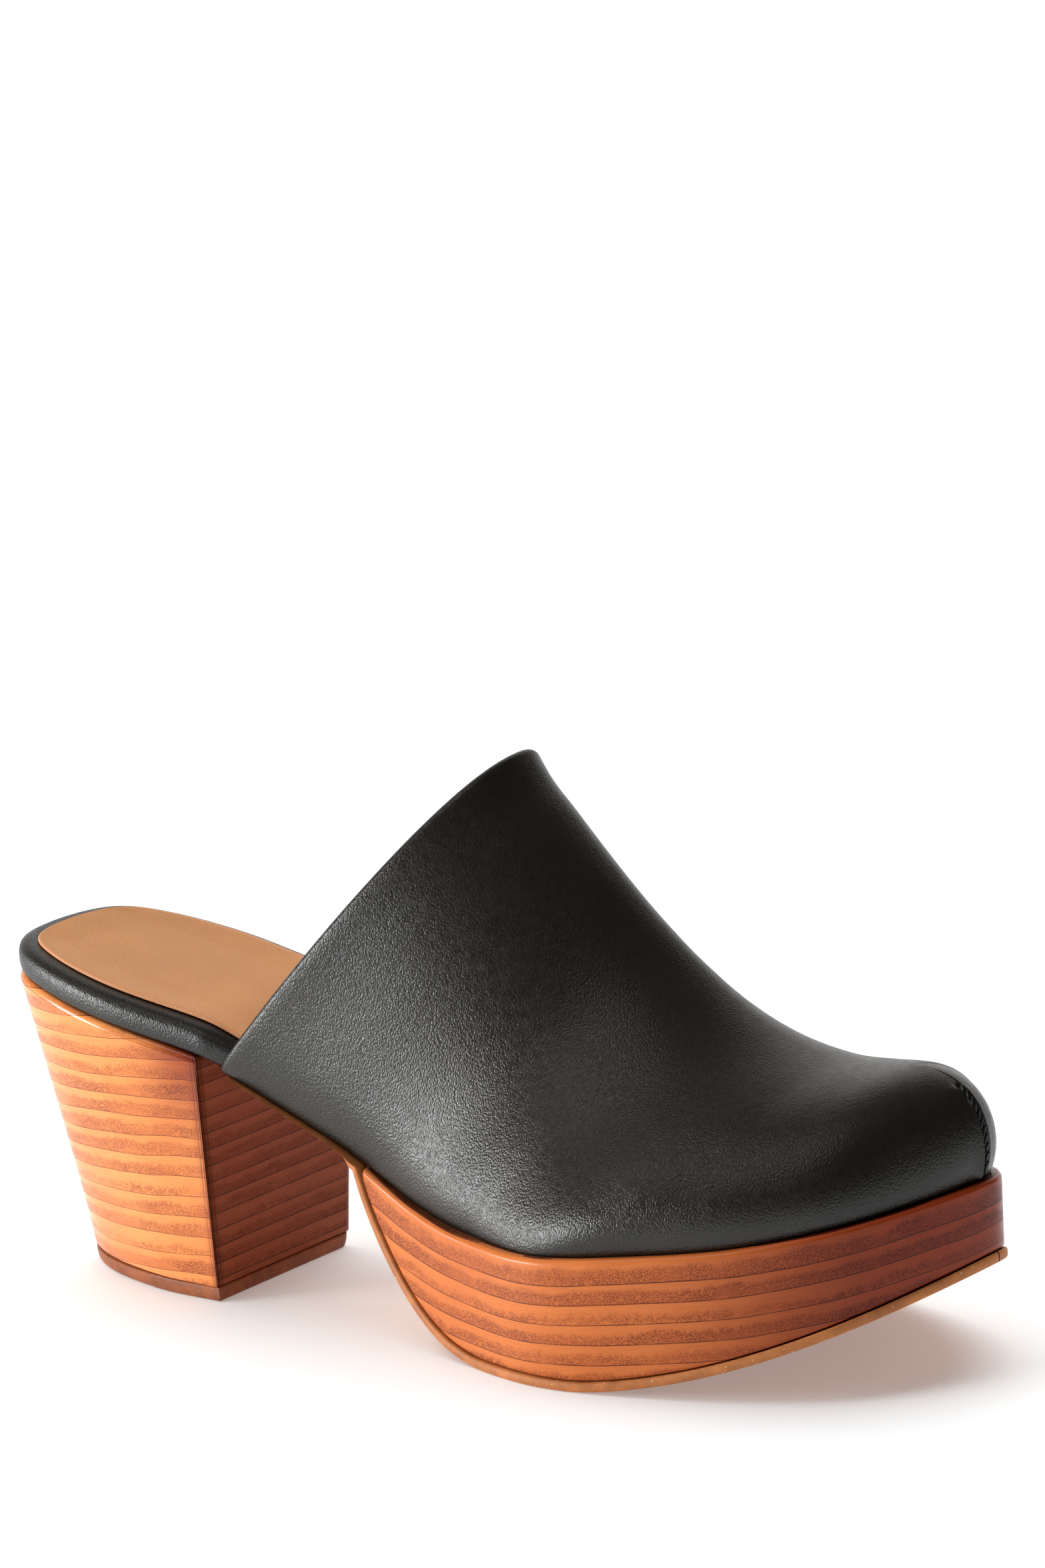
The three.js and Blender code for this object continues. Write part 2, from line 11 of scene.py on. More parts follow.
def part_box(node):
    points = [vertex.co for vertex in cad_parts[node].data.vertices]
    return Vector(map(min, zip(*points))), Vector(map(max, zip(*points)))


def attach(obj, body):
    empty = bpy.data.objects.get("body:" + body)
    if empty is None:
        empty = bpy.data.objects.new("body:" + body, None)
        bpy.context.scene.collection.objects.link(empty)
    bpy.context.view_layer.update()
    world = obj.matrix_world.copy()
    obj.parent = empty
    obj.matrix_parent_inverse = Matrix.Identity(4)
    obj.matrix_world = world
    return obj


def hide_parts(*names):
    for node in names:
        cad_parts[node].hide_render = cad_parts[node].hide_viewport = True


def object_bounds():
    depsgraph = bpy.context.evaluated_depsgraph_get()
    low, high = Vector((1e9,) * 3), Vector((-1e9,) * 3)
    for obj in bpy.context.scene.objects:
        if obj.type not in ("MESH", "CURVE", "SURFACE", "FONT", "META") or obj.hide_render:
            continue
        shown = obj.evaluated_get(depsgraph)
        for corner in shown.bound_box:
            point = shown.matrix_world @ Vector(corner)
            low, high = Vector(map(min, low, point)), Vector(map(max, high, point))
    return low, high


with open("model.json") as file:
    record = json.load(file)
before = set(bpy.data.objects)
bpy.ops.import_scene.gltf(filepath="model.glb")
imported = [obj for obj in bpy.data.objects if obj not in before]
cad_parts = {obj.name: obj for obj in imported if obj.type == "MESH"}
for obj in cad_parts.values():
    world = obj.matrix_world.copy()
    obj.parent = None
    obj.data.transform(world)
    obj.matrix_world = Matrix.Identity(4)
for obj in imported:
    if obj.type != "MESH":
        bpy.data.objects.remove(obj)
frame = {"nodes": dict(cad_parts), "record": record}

FRAME_BOUNDS = [list(corner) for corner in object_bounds()]
MM = 0.001

# The sizes below are in millimetres, with x = 0 at the back of the heel and y = 0 on the middle of the
# heel.  SHIFT takes them to the frame.
heel_low, heel_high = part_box("heel_side_cover")
SHIFT = np.array([FRAME_BOUNDS[0][0] / MM, (heel_low[1] + heel_high[1]) / 2 / MM, 0.0])

# ---- outlines and profiles: the clog's driving dimensions ----

SHOE_LENGTH = 250.0
TOE_Y = 3.4
LATERAL_TOE = [(88, -29.5), (112, -32), (138, -41), (165, -49), (192, -45.8), (215, -39.6),
               (233, -29.8), (245, -13.6)]
MEDIAL_TOE = [(244.6, 15.4), (234.8, 25.8), (220, 34.2), (198, 41), (170, 42.5), (140, 36.5),
              (112, 29.5), (88, 28)]
HEEL_SEAT = [(62.9, -30.4), (35, -31.7), (14, -26.9), (3, -17.9), (0, 0),
             (3, 17.9), (14, 26.9), (35, 31.7), (62.9, 30.4)]
HEEL_FOOT = [(61.8, -25.7), (43.7, -23.4), (24.8, -16.5), (12.4, -7.4), (10, 0),
             (12.4, 7.4), (24.8, 16.5), (43.7, 23.4), (61.8, 25.7)]
SEAT_LINE = [(0, 73.7), (20, 69.0), (45, 63.1), (62.9, 58.9), (70, 56.0), (84.6, 49.3), (94.3, 44.9),
             (104.5, 40.2), (113, 35.8), (122, 32.3), (135, 29.5), (148, 28.5), (163, 28.5),
             (181, 30.0), (208, 33.2), (229.5, 37.6), (250, 42.8)]
RIDGE = [(133.5, 129.6), (138, 122.7), (144.5, 115.8), (152, 107.6), (159, 100.1), (166, 93.0),
         (176, 83.8), (187, 75.2), (199, 68.8), (210.5, 65.6), (221, 65.4), (231, 66.2)]
THROAT_Y = 4.0
UPPER_START = 67.8
FEATHER_INSET = [(60, -1.6), (70, -1.7), (85, -1.5), (100, -0.7), (118, 0.4), (140, 1.3),
                 (165, 1.6), (230, 1.6), (250, 1.8)]

GAP = 0.3
OUTSOLE = 2.2
WAIST_SOLE = 1.3
OUTSOLE_PROUD = 0.7
FLAT_FRONT = 172.0
TOE_SPRING = 24.0
TOE_SPRING_POWER = 1.66
ARCH_X, ARCH_Z, ARCH_WIDTH = 148.0, 56.0, 45.0
ARCH_CORNER_X = 105.6
VENEER = 2.2
BREAST_VENEER = 1.7
TOP_LIFT = 3.5
HEEL_SLOPE = 0.236


def smoothstep(low, high, value):
    t = np.clip((value - low) / (high - low), 0, 1)
    return t * t * (3 - 2 * t)


def lerp(a, b, t):
    return a + (b - a) * t


def corner_drop(distance, radius):
    """How far a rounded corner stands back at a distance from its side."""
    drop = radius - np.sqrt(np.maximum(radius**2 - (radius - distance)**2, 0))
    return np.where(distance < radius, drop, 0)


def catmull_rom(corners, per_corner, closed=False):
    """A smooth line through the corners."""
    p = np.asarray(corners, float)
    if closed:
        q = np.vstack([p[-1], p, p[0], p[1]])
    else:
        q = np.vstack([2 * p[0] - p[1], p, 2 * p[-1] - p[-2]])
    spans = len(p) if closed else len(p) - 1
    t = np.linspace(0, spans, spans * per_corner + 1)
    i = np.minimum(t.astype(int), spans - 1)
    f = (t - i)[:, None]
    a, b, c, d = q[i], q[i + 1], q[i + 2], q[i + 3]
    square, cube = 2 * a - 5 * b + 4 * c - d, 3 * b - 3 * c + d - a
    return 0.5 * (2 * b + (c - a) * f + square * f**2 + cube * f**3)


def profile(points):
    """A smooth function of x through (x, value) points."""
    xs, values = np.asarray(points, float).T
    count = len(xs)
    low, high = np.maximum(np.arange(count) - 1, 0), np.minimum(np.arange(count) + 1, count - 1)
    slopes = (values[high] - values[low]) / (xs[high] - xs[low])

    def at(x):
        x = np.asarray(x, float)
        i = np.clip(np.searchsorted(xs, x) - 1, 0, count - 2)
        span, rise = xs[i + 1] - xs[i], values[i + 1] - values[i]
        t = np.clip((x - xs[i]) / span, 0, 1)
        bend_0, bend_1 = slopes[i] * span - rise, rise - slopes[i + 1] * span
        return values[i] + rise * t + t * (1 - t) * (bend_0 * (1 - t) + bend_1 * t)

    return at


def unit(directions):
    return directions / np.maximum(np.linalg.norm(directions, axis=-1, keepdims=True), 1e-9)


def line_lengths(points):
    return np.r_[0, np.cumsum(np.linalg.norm(np.diff(points, axis=0), axis=1))]


def resample(points, shares):
    """Points at shares of a line's length."""
    lengths = line_lengths(points)
    places = np.asarray(shares) * lengths[-1]
    return np.stack([np.interp(places, lengths, column) for column in points.T], 1)


def plan_normals(points):
    """Unit directions to the left of a line in plan."""
    along = unit(np.gradient(points[:, :2], axis=0))
    return np.stack([-along[:, 1], along[:, 0]], 1)


seat_height = profile(SEAT_LINE)
ridge_height = profile(RIDGE)
feather_inset = profile(FEATHER_INSET)

SOLE = catmull_rom([*HEEL_SEAT[4::-1], *LATERAL_TOE, (SHOE_LENGTH, TOE_Y), *MEDIAL_TOE,
                    *HEEL_SEAT[:4:-1]], 60, closed=True)[:-1]
_along = unit(np.roll(SOLE, -1, 0) - np.roll(SOLE, 1, 0))
SOLE_INWARD = np.stack([-_along[:, 1], _along[:, 0]], 1)
TOE_INDEX = int(np.argmax(SOLE[:, 0]))
SIGN = {"lateral": -1, "medial": 1}


def one_half(closed, side):
    """Half of a closed row, from the back of the heel to the toe tip."""
    row = np.vstack([closed, closed[:1]])
    return row[:TOE_INDEX + 1] if side == "lateral" else row[TOE_INDEX:][::-1]


def half(side, inset=0.0):
    """Half of the sole outline, moved inward."""
    shift = inset(SOLE[:, 0]) if callable(inset) else np.full(len(SOLE), inset)
    return one_half(SOLE + SOLE_INWARD * shift[:, None], side)


def edge(side, x, inset):
    """Points of the sole outline at x, then moved inward."""
    base, inward = one_half(SOLE, side), one_half(SOLE_INWARD, side)
    order = np.maximum.accumulate(base[:, 0])
    y, nx, ny = (np.interp(x, order, column) for column in (base[:, 1], inward[:, 0], inward[:, 1]))
    return np.stack([x + nx * inset, y + ny * inset], 1)


# ---- meshes ----


def mesh_object(name, points, faces, attributes=None):
    """An object from points in millimetres; attributes are numbers per point, for its material."""
    mesh = bpy.data.meshes.new(name)
    mesh.from_pydata(((points + SHIFT) * MM).tolist(), [], faces)
    for key, values in (attributes or {}).items():
        layer = mesh.attributes.new(key, "FLOAT", "POINT")
        layer.data.foreach_set("value", np.asarray(values, np.float32).ravel())
    work = bmesh.new()
    work.from_mesh(mesh)
    bmesh.ops.remove_doubles(work, verts=work.verts, dist=2e-6)
    bmesh.ops.dissolve_degenerate(work, edges=work.edges, dist=1e-7)
    bmesh.ops.recalc_face_normals(work, faces=work.faces)
    work.to_mesh(mesh)
    work.free()
    mesh.shade_smooth()
    mesh.set_sharp_from_angle(angle=math.radians(50))
    piece = bpy.data.objects.new(name, mesh)
    bpy.context.scene.collection.objects.link(piece)
    return piece


def loft_faces(sections, caps=(True, True), base=0):
    """Faces of a body through closed sections, whose first point has the number base."""
    count, size = sections.shape[:2]
    index = np.arange(count * size).reshape(count, size) + base
    a, b = index[:-1], index[1:]
    quads = np.stack([a, b, np.roll(b, -1, 1), np.roll(a, -1, 1)], -1).reshape(-1, 4).tolist()
    return quads + [index[0].tolist()] * caps[0] + [index[-1][::-1].tolist()] * caps[1]


def section_loft(name, sections, caps=(True, True), attributes=None):
    """A body through closed sections, an array of sections x points x 3."""
    return mesh_object(name, sections.reshape(-1, 3), loft_faces(sections, caps), attributes)


def finish_piece(piece, material, slot, *nodes):
    piece.data.materials.clear()
    piece.data.materials.append(material)
    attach(piece, "root")
    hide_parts(*nodes)
    return piece


def stations(start, end, count, round_start, round_end):
    """Places along x, closer together where the outline turns round an end."""
    t = np.linspace(0, 1, count)
    if round_start and round_end:
        t = (1 - np.cos(math.pi * t)) / 2
    elif round_end:
        t = np.sin(math.pi * t / 2)
    elif round_start:
        t = 1 - np.cos(math.pi * t / 2)
    return lerp(start, end, t)


def plate_sections(levels, across, crown=None):
    """Sections of a plate.  Each level, from the bottom up, is (x stations, inset, z of x)."""
    lateral, medial = [], []
    for x, inset, height in levels:
        for side, rows in (("lateral", lateral), ("medial", medial)):
            moved = edge(side, x, inset(x) if callable(inset) else inset)
            rows.append(np.column_stack([moved, height(moved[:, 0]) if callable(height) else height]))
    share = np.linspace(0, 1, across + 1)[None, :, None]
    under = lerp(medial[0][:, None], lateral[0][:, None], share)
    over = lerp(lateral[-1][:, None], medial[-1][:, None], share)
    if crown is not None:
        over[:, :, 2] += crown(over, share[..., 0])
    walls = [np.stack(lateral[1:-1], 1), np.stack(medial[1:-1][::-1], 1)]
    return np.concatenate([under, walls[0], over, walls[1]], 1)


# ---- the upper ----

LEATHER = 1.1
EDGE_RADIUS = 1.45               # of the fold along the topline
FOLD_STEPS = (4.0, 7.0, 10.0)    # the folded leather runs this far back inside
LINING_DEPTH, LINING = 3.15, 0.8

FOOT_LINES = {}
for _side in SIGN:
    _line = half(_side, feather_inset)
    _line = _line[_line[:, 0] > UPPER_START]
    FOOT_LINES[_side] = np.column_stack([_line, seat_height(_line[:, 0]) + 0.05])

UPPER_RUN = 172.0                # about the length of the upper along the foot, for small steps

# How the ribs bulge on each side.  reach is how far the handle at the ridge stands out at the topline,
# with its change towards the middle and towards the toe, which starts at toe_from.  flare is how far the
# wall leans out above its foot at the topline, the middle and the toe; tuck draws it in at the forefoot.
RIBS = {
    "lateral": {"reach": (0.84, -0.24, 0.18), "toe_from": 0.7,
                "flare": (0.03, 0.13, 0.15), "middle_at": 0.3, "tuck": 0.75},
    "medial": {"reach": (0.68, -0.12, 0.26), "toe_from": 0.6,
               "flare": (0.03, 0.19, 0.15), "middle_at": 0.6, "tuck": 0.0},
}


def upper_rib_points(side, shares, rows):
    """Points of the upper's outside: one cubic rib for each share of the foot line."""
    sign, line = SIGN[side], FOOT_LINES[side]
    u = np.asarray(shares, float)
    base = resample(line, u)
    outward = resample(np.column_stack([line, plan_normals(line)]), u)[:, 3:]
    outward = np.column_stack([outward, 0 * u]) * sign
    outward[u > 0.9999] = (1, 0, 0)
    start, end = RIDGE[0][0], RIDGE[-1][0]
    x = lerp(start, end, np.sin(u * math.pi / 2))
    top = np.column_stack([x, lerp(THROAT_Y, TOE_Y, u), ridge_height(x)])
    slope = np.where(x > end - 1, 0, ridge_height(x + 0.5) - ridge_height(x - 0.5))
    toeward = smoothstep(0.55, 1, u)
    height = top[:, 2] - base[:, 2]
    foot_reach = 0.42 + 0.16 * smoothstep(0.6, 1, u)
    shape = RIBS[side]
    at_topline, to_middle, to_toe = shape["reach"]
    ridge_reach = at_topline + to_middle * smoothstep(0, 0.3, u)
    ridge_reach = ridge_reach + to_toe * smoothstep(shape["toe_from"], 1, u)
    low, middle, toe = shape["flare"]
    flare = lerp(lerp(low, middle, smoothstep(0, shape["middle_at"], u)), toe, smoothstep(0.8, 1, u))
    flare = flare * (1 - shape["tuck"] * smoothstep(0.32, 0.5, u) * (1 - smoothstep(0.93, 1, u)))
    lean = (top[:, 0] - base[:, 0]) * (1 - toeward) * lerp(1.0, 0.92, smoothstep(0, 0.3, u))
    foot_handle = base + np.column_stack([lean, 0 * u, height]) * foot_reach[:, None]
    foot_handle += outward * (flare * height)[:, None]
    ahead = (base[:, 0] - top[:, 0]) * toeward
    across = np.column_stack([ahead, base[:, 1] - top[:, 1], slope * ahead])
    ridge_handle = top + across * ridge_reach[:, None]
    t = np.asarray(rows, float)[None, :, None]
    b, f, r, e = base[:, None], foot_handle[:, None], ridge_handle[:, None], top[:, None]
    return (1 - t)**3 * b + 3 * (1 - t)**2 * t * f + 3 * (1 - t) * t * t * r + t**3 * e


def sheet_normals(points):
    return unit(np.cross(np.gradient(points, axis=0), np.gradient(points, axis=1)))


def upper_surface(shares, rows):
    """Points and outward normals over the whole upper: lateral ribs to the toe, then medial ribs back."""
    lateral, medial = upper_rib_points("lateral", shares, rows), upper_rib_points("medial", shares, rows)
    points = np.concatenate([lateral, medial[-2::-1]])
    normals = sheet_normals(points)
    # Along the ridge both sides share the upright normal.
    x = points[:, -1, 0]
    slope = np.where(x > RIDGE[-1][0] - 1, 0.1, ridge_height(x + 0.5) - ridge_height(x - 0.5))
    normals[:, -1] = unit(np.column_stack([-slope, 0 * x, np.ones_like(x)]))
    return points, normals


def shell_object(name, outer, inner):
    """A closed shell between two sheets of points; both sides share the points along the ridge."""
    columns, rows = outer.shape[:2]
    index = np.arange(columns * rows).reshape(columns, rows)
    half_count = columns // 2
    index[half_count:, -1] = index[:half_count + 1, -1][::-1]
    inside = index + columns * rows
    faces = []
    for sheet, flip in ((index, False), (inside, True)):
        corners = [sheet[:-1, :-1], sheet[1:, :-1], sheet[1:, 1:], sheet[:-1, 1:]]
        faces += np.stack(corners[::-1] if flip else corners, -1).reshape(-1, 4).tolist()
    faces += [[inside[i, 0], inside[i + 1, 0], index[i + 1, 0], index[i, 0]] for i in range(columns - 1)]
    for j in range(rows - 1):
        faces.append([index[0, j], index[0, j + 1], inside[0, j + 1], inside[0, j]])
        faces.append([inside[-1, j], inside[-1, j + 1], index[-1, j + 1], index[-1, j]])
    faces = [[int(v) for v in face] for face in faces]
    return mesh_object(name, np.concatenate([outer.reshape(-1, 3), inner.reshape(-1, 3)]), faces)


NEAR_TOE = np.array([0, .0012, .0025, .004, .006, .0085, .0115, .015, .02, .026, .034, .044, .056])
ROWS = np.r_[0, .0025, .006, .011, .018, .028, .04, np.linspace(.055, 1, 62)]
SHARES = np.r_[EDGE_RADIUS / UPPER_RUN, np.linspace(0.018, 0.93, 112), 1 - NEAR_TOE[::-1]]
DART_TOP = 0.63                  # share of the toe rib up to which the dart runs
ROUND_FOOT = 11.0                # the leather turns under above the platform
FOOT_PULL = (0.2, 0.09)          # share of a full round by which it does so, at the waist and forefoot
DART_SHIFT = 1.1                 # the dart lies this far to the lateral side of the toe's tip


def dart_relief(points, rows):
    """Raises a lip beside the dart at the toe tip and sinks the dart itself."""
    middle = len(points) // 2
    steps = np.linalg.norm(np.diff(points, axis=0), axis=2)
    run = np.concatenate([np.zeros((1, points.shape[1])), np.cumsum(steps, axis=0)])
    beside = run - run[middle] + DART_SHIFT  # negative on the lateral side
    fade = (1 - smoothstep(DART_TOP - 0.04, DART_TOP + 0.05, rows)) * smoothstep(0.0, 0.03, rows)
    groove = -1.7 * np.exp(-(beside / 0.7)**2)
    near_lip = 1.0 * np.exp(-((beside + 1.45) / 0.95)**2)
    far_lip = 0.25 * np.exp(-((beside - 1.4) / 0.9)**2)
    return (groove + near_lip + far_lip) * fade[None, :]


def soft_relief(points):
    """Slow swells in the leather where it was stretched over the last."""
    x, y, z = points[..., 0], points[..., 1], points[..., 2]
    swell = 0.45 * np.sin(x / 13.0 + z / 21.0) * np.sin(z / 16.0 - y / 24.0 + 1.0)
    crease = -0.55 * np.exp(-(((x - 171) + 0.9 * (z - 52)) / 9.0)**2) * np.exp(-((z - 50) / 17.0)**2)
    crease = crease * (y < 0)
    low = smoothstep(3, 14, z - seat_height(x))
    return (swell * 0.55 + crease) * low


def build_upper():
    """The leather upper, with the dart at its toe and its topline folded inside."""
    points, normals = upper_surface(SHARES, ROWS)
    height = points[..., 2] - points[:, :1, 2]
    level = unit(normals * [1, 1, 0])
    shares = np.r_[SHARES, SHARES[-2::-1]][:, None]
    from_edge = smoothstep(0.0, 0.06, shares)
    turn = corner_drop(height, ROUND_FOOT) * lerp(*FOOT_PULL, smoothstep(0.3, 0.5, shares))
    relief = dart_relief(points, ROWS) + soft_relief(points) * from_edge
    points = points + normals * relief[..., None] - level * turn[..., None]
    fresh = sheet_normals(points)
    fresh[:, -1] = normals[:, -1]
    fresh[:, :2] = fresh[:, 2:3]
    normals = fresh

    # Across the topline the sheet folds over and runs back inside for a short way.
    fold = {}
    for side in SIGN:
        near = upper_rib_points(side, np.array([0, EDGE_RADIUS, *FOLD_STEPS]) / UPPER_RUN, ROWS)
        fold[side] = near[2:], unit(near[1] - near[0])

    sheets = []
    for depth in (0.0, LEATHER):
        folded = []
        for side, end in (("lateral", 0), ("medial", -1)):
            (runs, into), normal = fold[side], normals[end]
            centre = points[end] - normal * EDGE_RADIUS
            turns = [centre + (EDGE_RADIUS - depth) * (math.cos(a) * normal - math.sin(a) * into)
                     for a in np.linspace(0, math.pi, 10)[1:]]
            folded.append(np.stack(turns + [run - normal * (2 * EDGE_RADIUS - depth) for run in runs]))
        sheets.append(np.concatenate([folded[0][::-1], points - normals * depth, folded[1]]))
    return shell_object("upper_leather", *sheets)


def shell_between(name, shares, rows, near, far):
    """A closed shell that follows the upper's inside between two depths."""
    points, normals = upper_surface(shares, rows)
    return shell_object(name, points - normals * near, points - normals * far)


def strip_between(name, steps, rows, near, far):
    """A closed strip over the throat that follows the topline between two depths."""
    lateral, medial = (upper_rib_points(side, np.asarray(steps) / UPPER_RUN, rows) for side in SIGN)
    points = np.concatenate([lateral, medial[:, -2::-1]], 1)
    normals = sheet_normals(points)
    outer, inner = points - normals * near, points - normals * far
    sections = np.concatenate([outer, inner[::-1]]).transpose(1, 0, 2)
    return section_loft(name, sections)


def tube(centre, radius, sides=8):
    """Sections of a round thread along a line of points."""
    along = unit(np.gradient(centre, axis=0))
    side = unit(np.cross(along, [0.3, 0.2, 1.0]))
    other = np.cross(along, side)
    angle = np.linspace(0, 2 * math.pi, sides, endpoint=False)[None, :, None]
    reach = np.asarray(radius, float).reshape(-1, 1, 1)
    return centre[:, None] + reach * (np.cos(angle) * side[:, None] + np.sin(angle) * other[:, None])


def toe_rib(shift, rows):
    """Points up the toe at a small distance from its tip, negative towards the lateral side."""
    side = "lateral" if shift < 0 else "medial"
    tip, near = upper_rib_points(side, [1.0, 1 - 2.5 / UPPER_RUN], rows)
    return tip + unit(near - tip) * abs(shift)


def build_stitches():
    """The thread that closes the dart, and short slanted stitches over its two edges."""
    rows = np.linspace(0.05, DART_TOP + 0.01, 12)
    left, right = toe_rib(-DART_SHIFT - 1.0, rows), toe_rib(-DART_SHIFT + 0.8, rows)
    seam = toe_rib(-DART_SHIFT, np.linspace(0.02, DART_TOP, 40))
    along = np.gradient(seam, axis=0)
    ahead = unit(np.column_stack([along[:, 2], 0 * along[:, 0], -along[:, 0]]))
    tubes = [tube(seam - ahead * 0.35, 0.42 * np.sqrt(np.sin(math.pi * np.linspace(0.03, 0.97, 40))))]
    t = np.linspace(0, 1, 9)
    for j in range(len(rows) - 1):
        outward = unit(np.array([left[j + 1, 2] - left[j, 2], 0, left[j, 0] - left[j + 1, 0]]))
        line = lerp(left[j], right[j + 1], t[:, None])
        line = line + outward * (0.35 + 0.35 * (1 - t) - 0.45 * np.sin(math.pi * t))[:, None]
        tubes.append(tube(line, 0.36 * np.sqrt(np.sin(math.pi * np.clip(t, 0.04, 0.96))) + 0.05))
    faces, base = [], 0
    for sections in tubes:
        faces += loft_faces(sections, base=base)
        base += sections.shape[0] * sections.shape[1]
    return mesh_object("toe_seam_thread", np.concatenate([part.reshape(-1, 3) for part in tubes]), faces)


# ---- footbed ----

WRAP_TOP = 7.0
WRAP_END = 90.0                  # the rim ends under the upper
SOCK_INSET = profile([(0, 5.0), (60, 5.0), (76, 5.2), (86, 4.6), (94, 3.2), (118, 3.8), (140, 4.6),
                      (165, 4.8), (250, 5.2)])
SOCK_LIFT = profile([(0, WRAP_TOP + 0.1), (88, WRAP_TOP + 0.1), (100, 5.8), (250, 5.8)])
SOCK = 0.85


def build_wrap():
    """The black rim round the footbed: a strip turned over the board's edge, soft at its shoulder."""
    section = np.array([
        (1.2, 0.3), (0.75, 0.6), (0.5, 1.3), (0.35, 2.4), (0.32, 3.6), (0.42, 4.7), (0.7, 5.6),
        (1.2, 6.3), (1.9, 6.75), (2.8, 7.0), (3.8, 7.08), (4.8, 7.1), (5.45, 7.0), (5.7, 6.7),
        (5.6, 6.2), (5.0, 5.95), (3.6, 5.9), (2.5, 5.6), (1.85, 5.0), (1.6, 4.0), (1.6, 2.4),
        (1.9, 1.7), (2.6, 1.5), (5.0, 1.5), (5.3, 1.2), (5.2, 0.6), (4.8, 0.3), (3.0, 0.3)])
    lateral, medial = (half(side) for side in SIGN)
    base = np.vstack([lateral[lateral[:, 0] < WRAP_END][::-1], medial[medial[:, 0] < WRAP_END][1:]])
    base = resample(base, np.linspace(0, 1, 190))
    inward = -plan_normals(base)
    narrow = np.clip((base[:, 0] - 64) * 0.22, 0, 2.6)
    rings = []
    for inset, height in section:
        moved = base + inward * (inset + narrow)[:, None]
        rings.append(np.column_stack([moved, seat_height(moved[:, 0]) + height]))
    return section_loft("footbed_wrap", np.stack(rings, 1))


def soft_levels(x, inset, lift, steps):
    """Levels of a soft plate over the seat; each step is (more inset, height above its lift)."""
    return [(x, lambda at, more=more: inset(at) + more, lambda at, up=up: seat_height(at) + lift(at) + up)
            for more, up in steps]


def build_sock():
    """The sock that covers the footbed, cupped towards its middle."""
    x = stations(0, SHOE_LENGTH, 190, True, True)
    steps = ((0.25, 0.0), (0.0, 0.15), (0.0, SOCK - 0.35), (0.12, SOCK - 0.12), (0.45, SOCK))
    levels = soft_levels(x, SOCK_INSET, SOCK_LIFT, steps)

    def cup(over, share):
        width = np.abs(over[:, :1, 1] - over[:, -1:, 1])
        from_edge = np.minimum(share, 1 - share) * width
        from_heel = over[..., 0] - 5.0
        depth = np.minimum(from_edge, np.maximum(from_heel, 0))
        return -1.2 * (1 - np.exp(-(depth / 8.0)**1.5))

    across, wall = 48, len(steps) - 2
    sections = plate_sections(levels, across, cup)
    # The cut edge is the wall of the plate.
    cut = np.zeros(sections.shape[:2])
    cut[:, across:across + wall + 1] = 1
    cut[:, 2 * across + wall + 1:] = 1
    return section_loft("sock_lining", sections, (False, False), {"cut_edge": cut})


def build_foam():
    """The padding under the sock."""
    x = stations(0, SHOE_LENGTH, 150, True, True)
    inset = profile([(0, 3.2), (60, 3.2), (75, 5.3), (120, 6.5), (150, 8.0), (250, 8.0)])
    levels = soft_levels(x, inset, lambda at: 0 * at, ((0.4, 4.1), (0.0, 4.45), (0.0, 5.05), (0.5, 5.5)))
    return section_loft("footbed_foam", plate_sections(levels, 24), (False, False))


# ---- platform and outsole ----


def bottom_line():
    """The underside of the outsole in side view, from the heel breast to the toe tip."""
    waist_x = np.linspace(64.2, 99, 14)
    waist = np.column_stack([waist_x, seat_height(waist_x) - GAP - WAIST_SOLE])
    angle = np.linspace(math.acos((ARCH_X - ARCH_CORNER_X) / ARCH_WIDTH), math.pi / 2, 44)
    arch = np.column_stack([ARCH_X - ARCH_WIDTH * np.cos(angle), ARCH_Z * (1 - np.sin(angle))])
    bend = np.array([(101.5, seat_height(101.5) - GAP - WAIST_SOLE - 0.15),
                     (103.8, seat_height(103.8) - GAP - WAIST_SOLE - 0.9)])
    flat_x = np.linspace(ARCH_X, FLAT_FRONT, 10)[1:]
    flat = np.column_stack([flat_x, 0 * flat_x])
    toe_x = stations(FLAT_FRONT, SHOE_LENGTH, 80, False, True)[1:]
    toe = np.column_stack([toe_x, toe_rise(toe_x)])
    return np.vstack([waist, bend, arch, flat, toe])


def toe_rise(x):
    return TOE_SPRING * (np.maximum(x - FLAT_FRONT, 0) / (SHOE_LENGTH - FLAT_FRONT))**TOE_SPRING_POWER


def lifted(line, depth):
    """The bottom line moved up, square to itself, by a depth."""
    along = unit(np.gradient(line, axis=0))
    square = np.column_stack([-along[:, 1], along[:, 0]])
    upright = np.column_stack([0 * along[:, 0], 1 / np.maximum(along[:, 0], 0.2)])
    ahead = (line[:, :1] > FLAT_FRONT - 1)
    return line + np.where(ahead, upright, square) * np.reshape(depth, (-1, 1))


def sole_depth(x, extra=0.0):
    return lerp(WAIST_SOLE, OUTSOLE, np.clip((x - 100) / 12, 0, 1)) + extra


OUTSOLE_EDGE = profile([(60, 3.0), (68, 2.0), (73, -1.3), (85, -1.5), (100, -1.0), (112, -OUTSOLE_PROUD),
                        (250, -OUTSOLE_PROUD)])
# The outsole's rounded edge: shares of its depth, each with how far it is drawn in.
OUTSOLE_ROUND = ((0, 0.75), (0.06, 0.3), (0.2, 0.04), (0.5, 0), (0.8, 0.04), (0.94, 0.2), (1, 0.5))
SKIVE = 5.5                      # how far the outsole is cut away below, under the waist


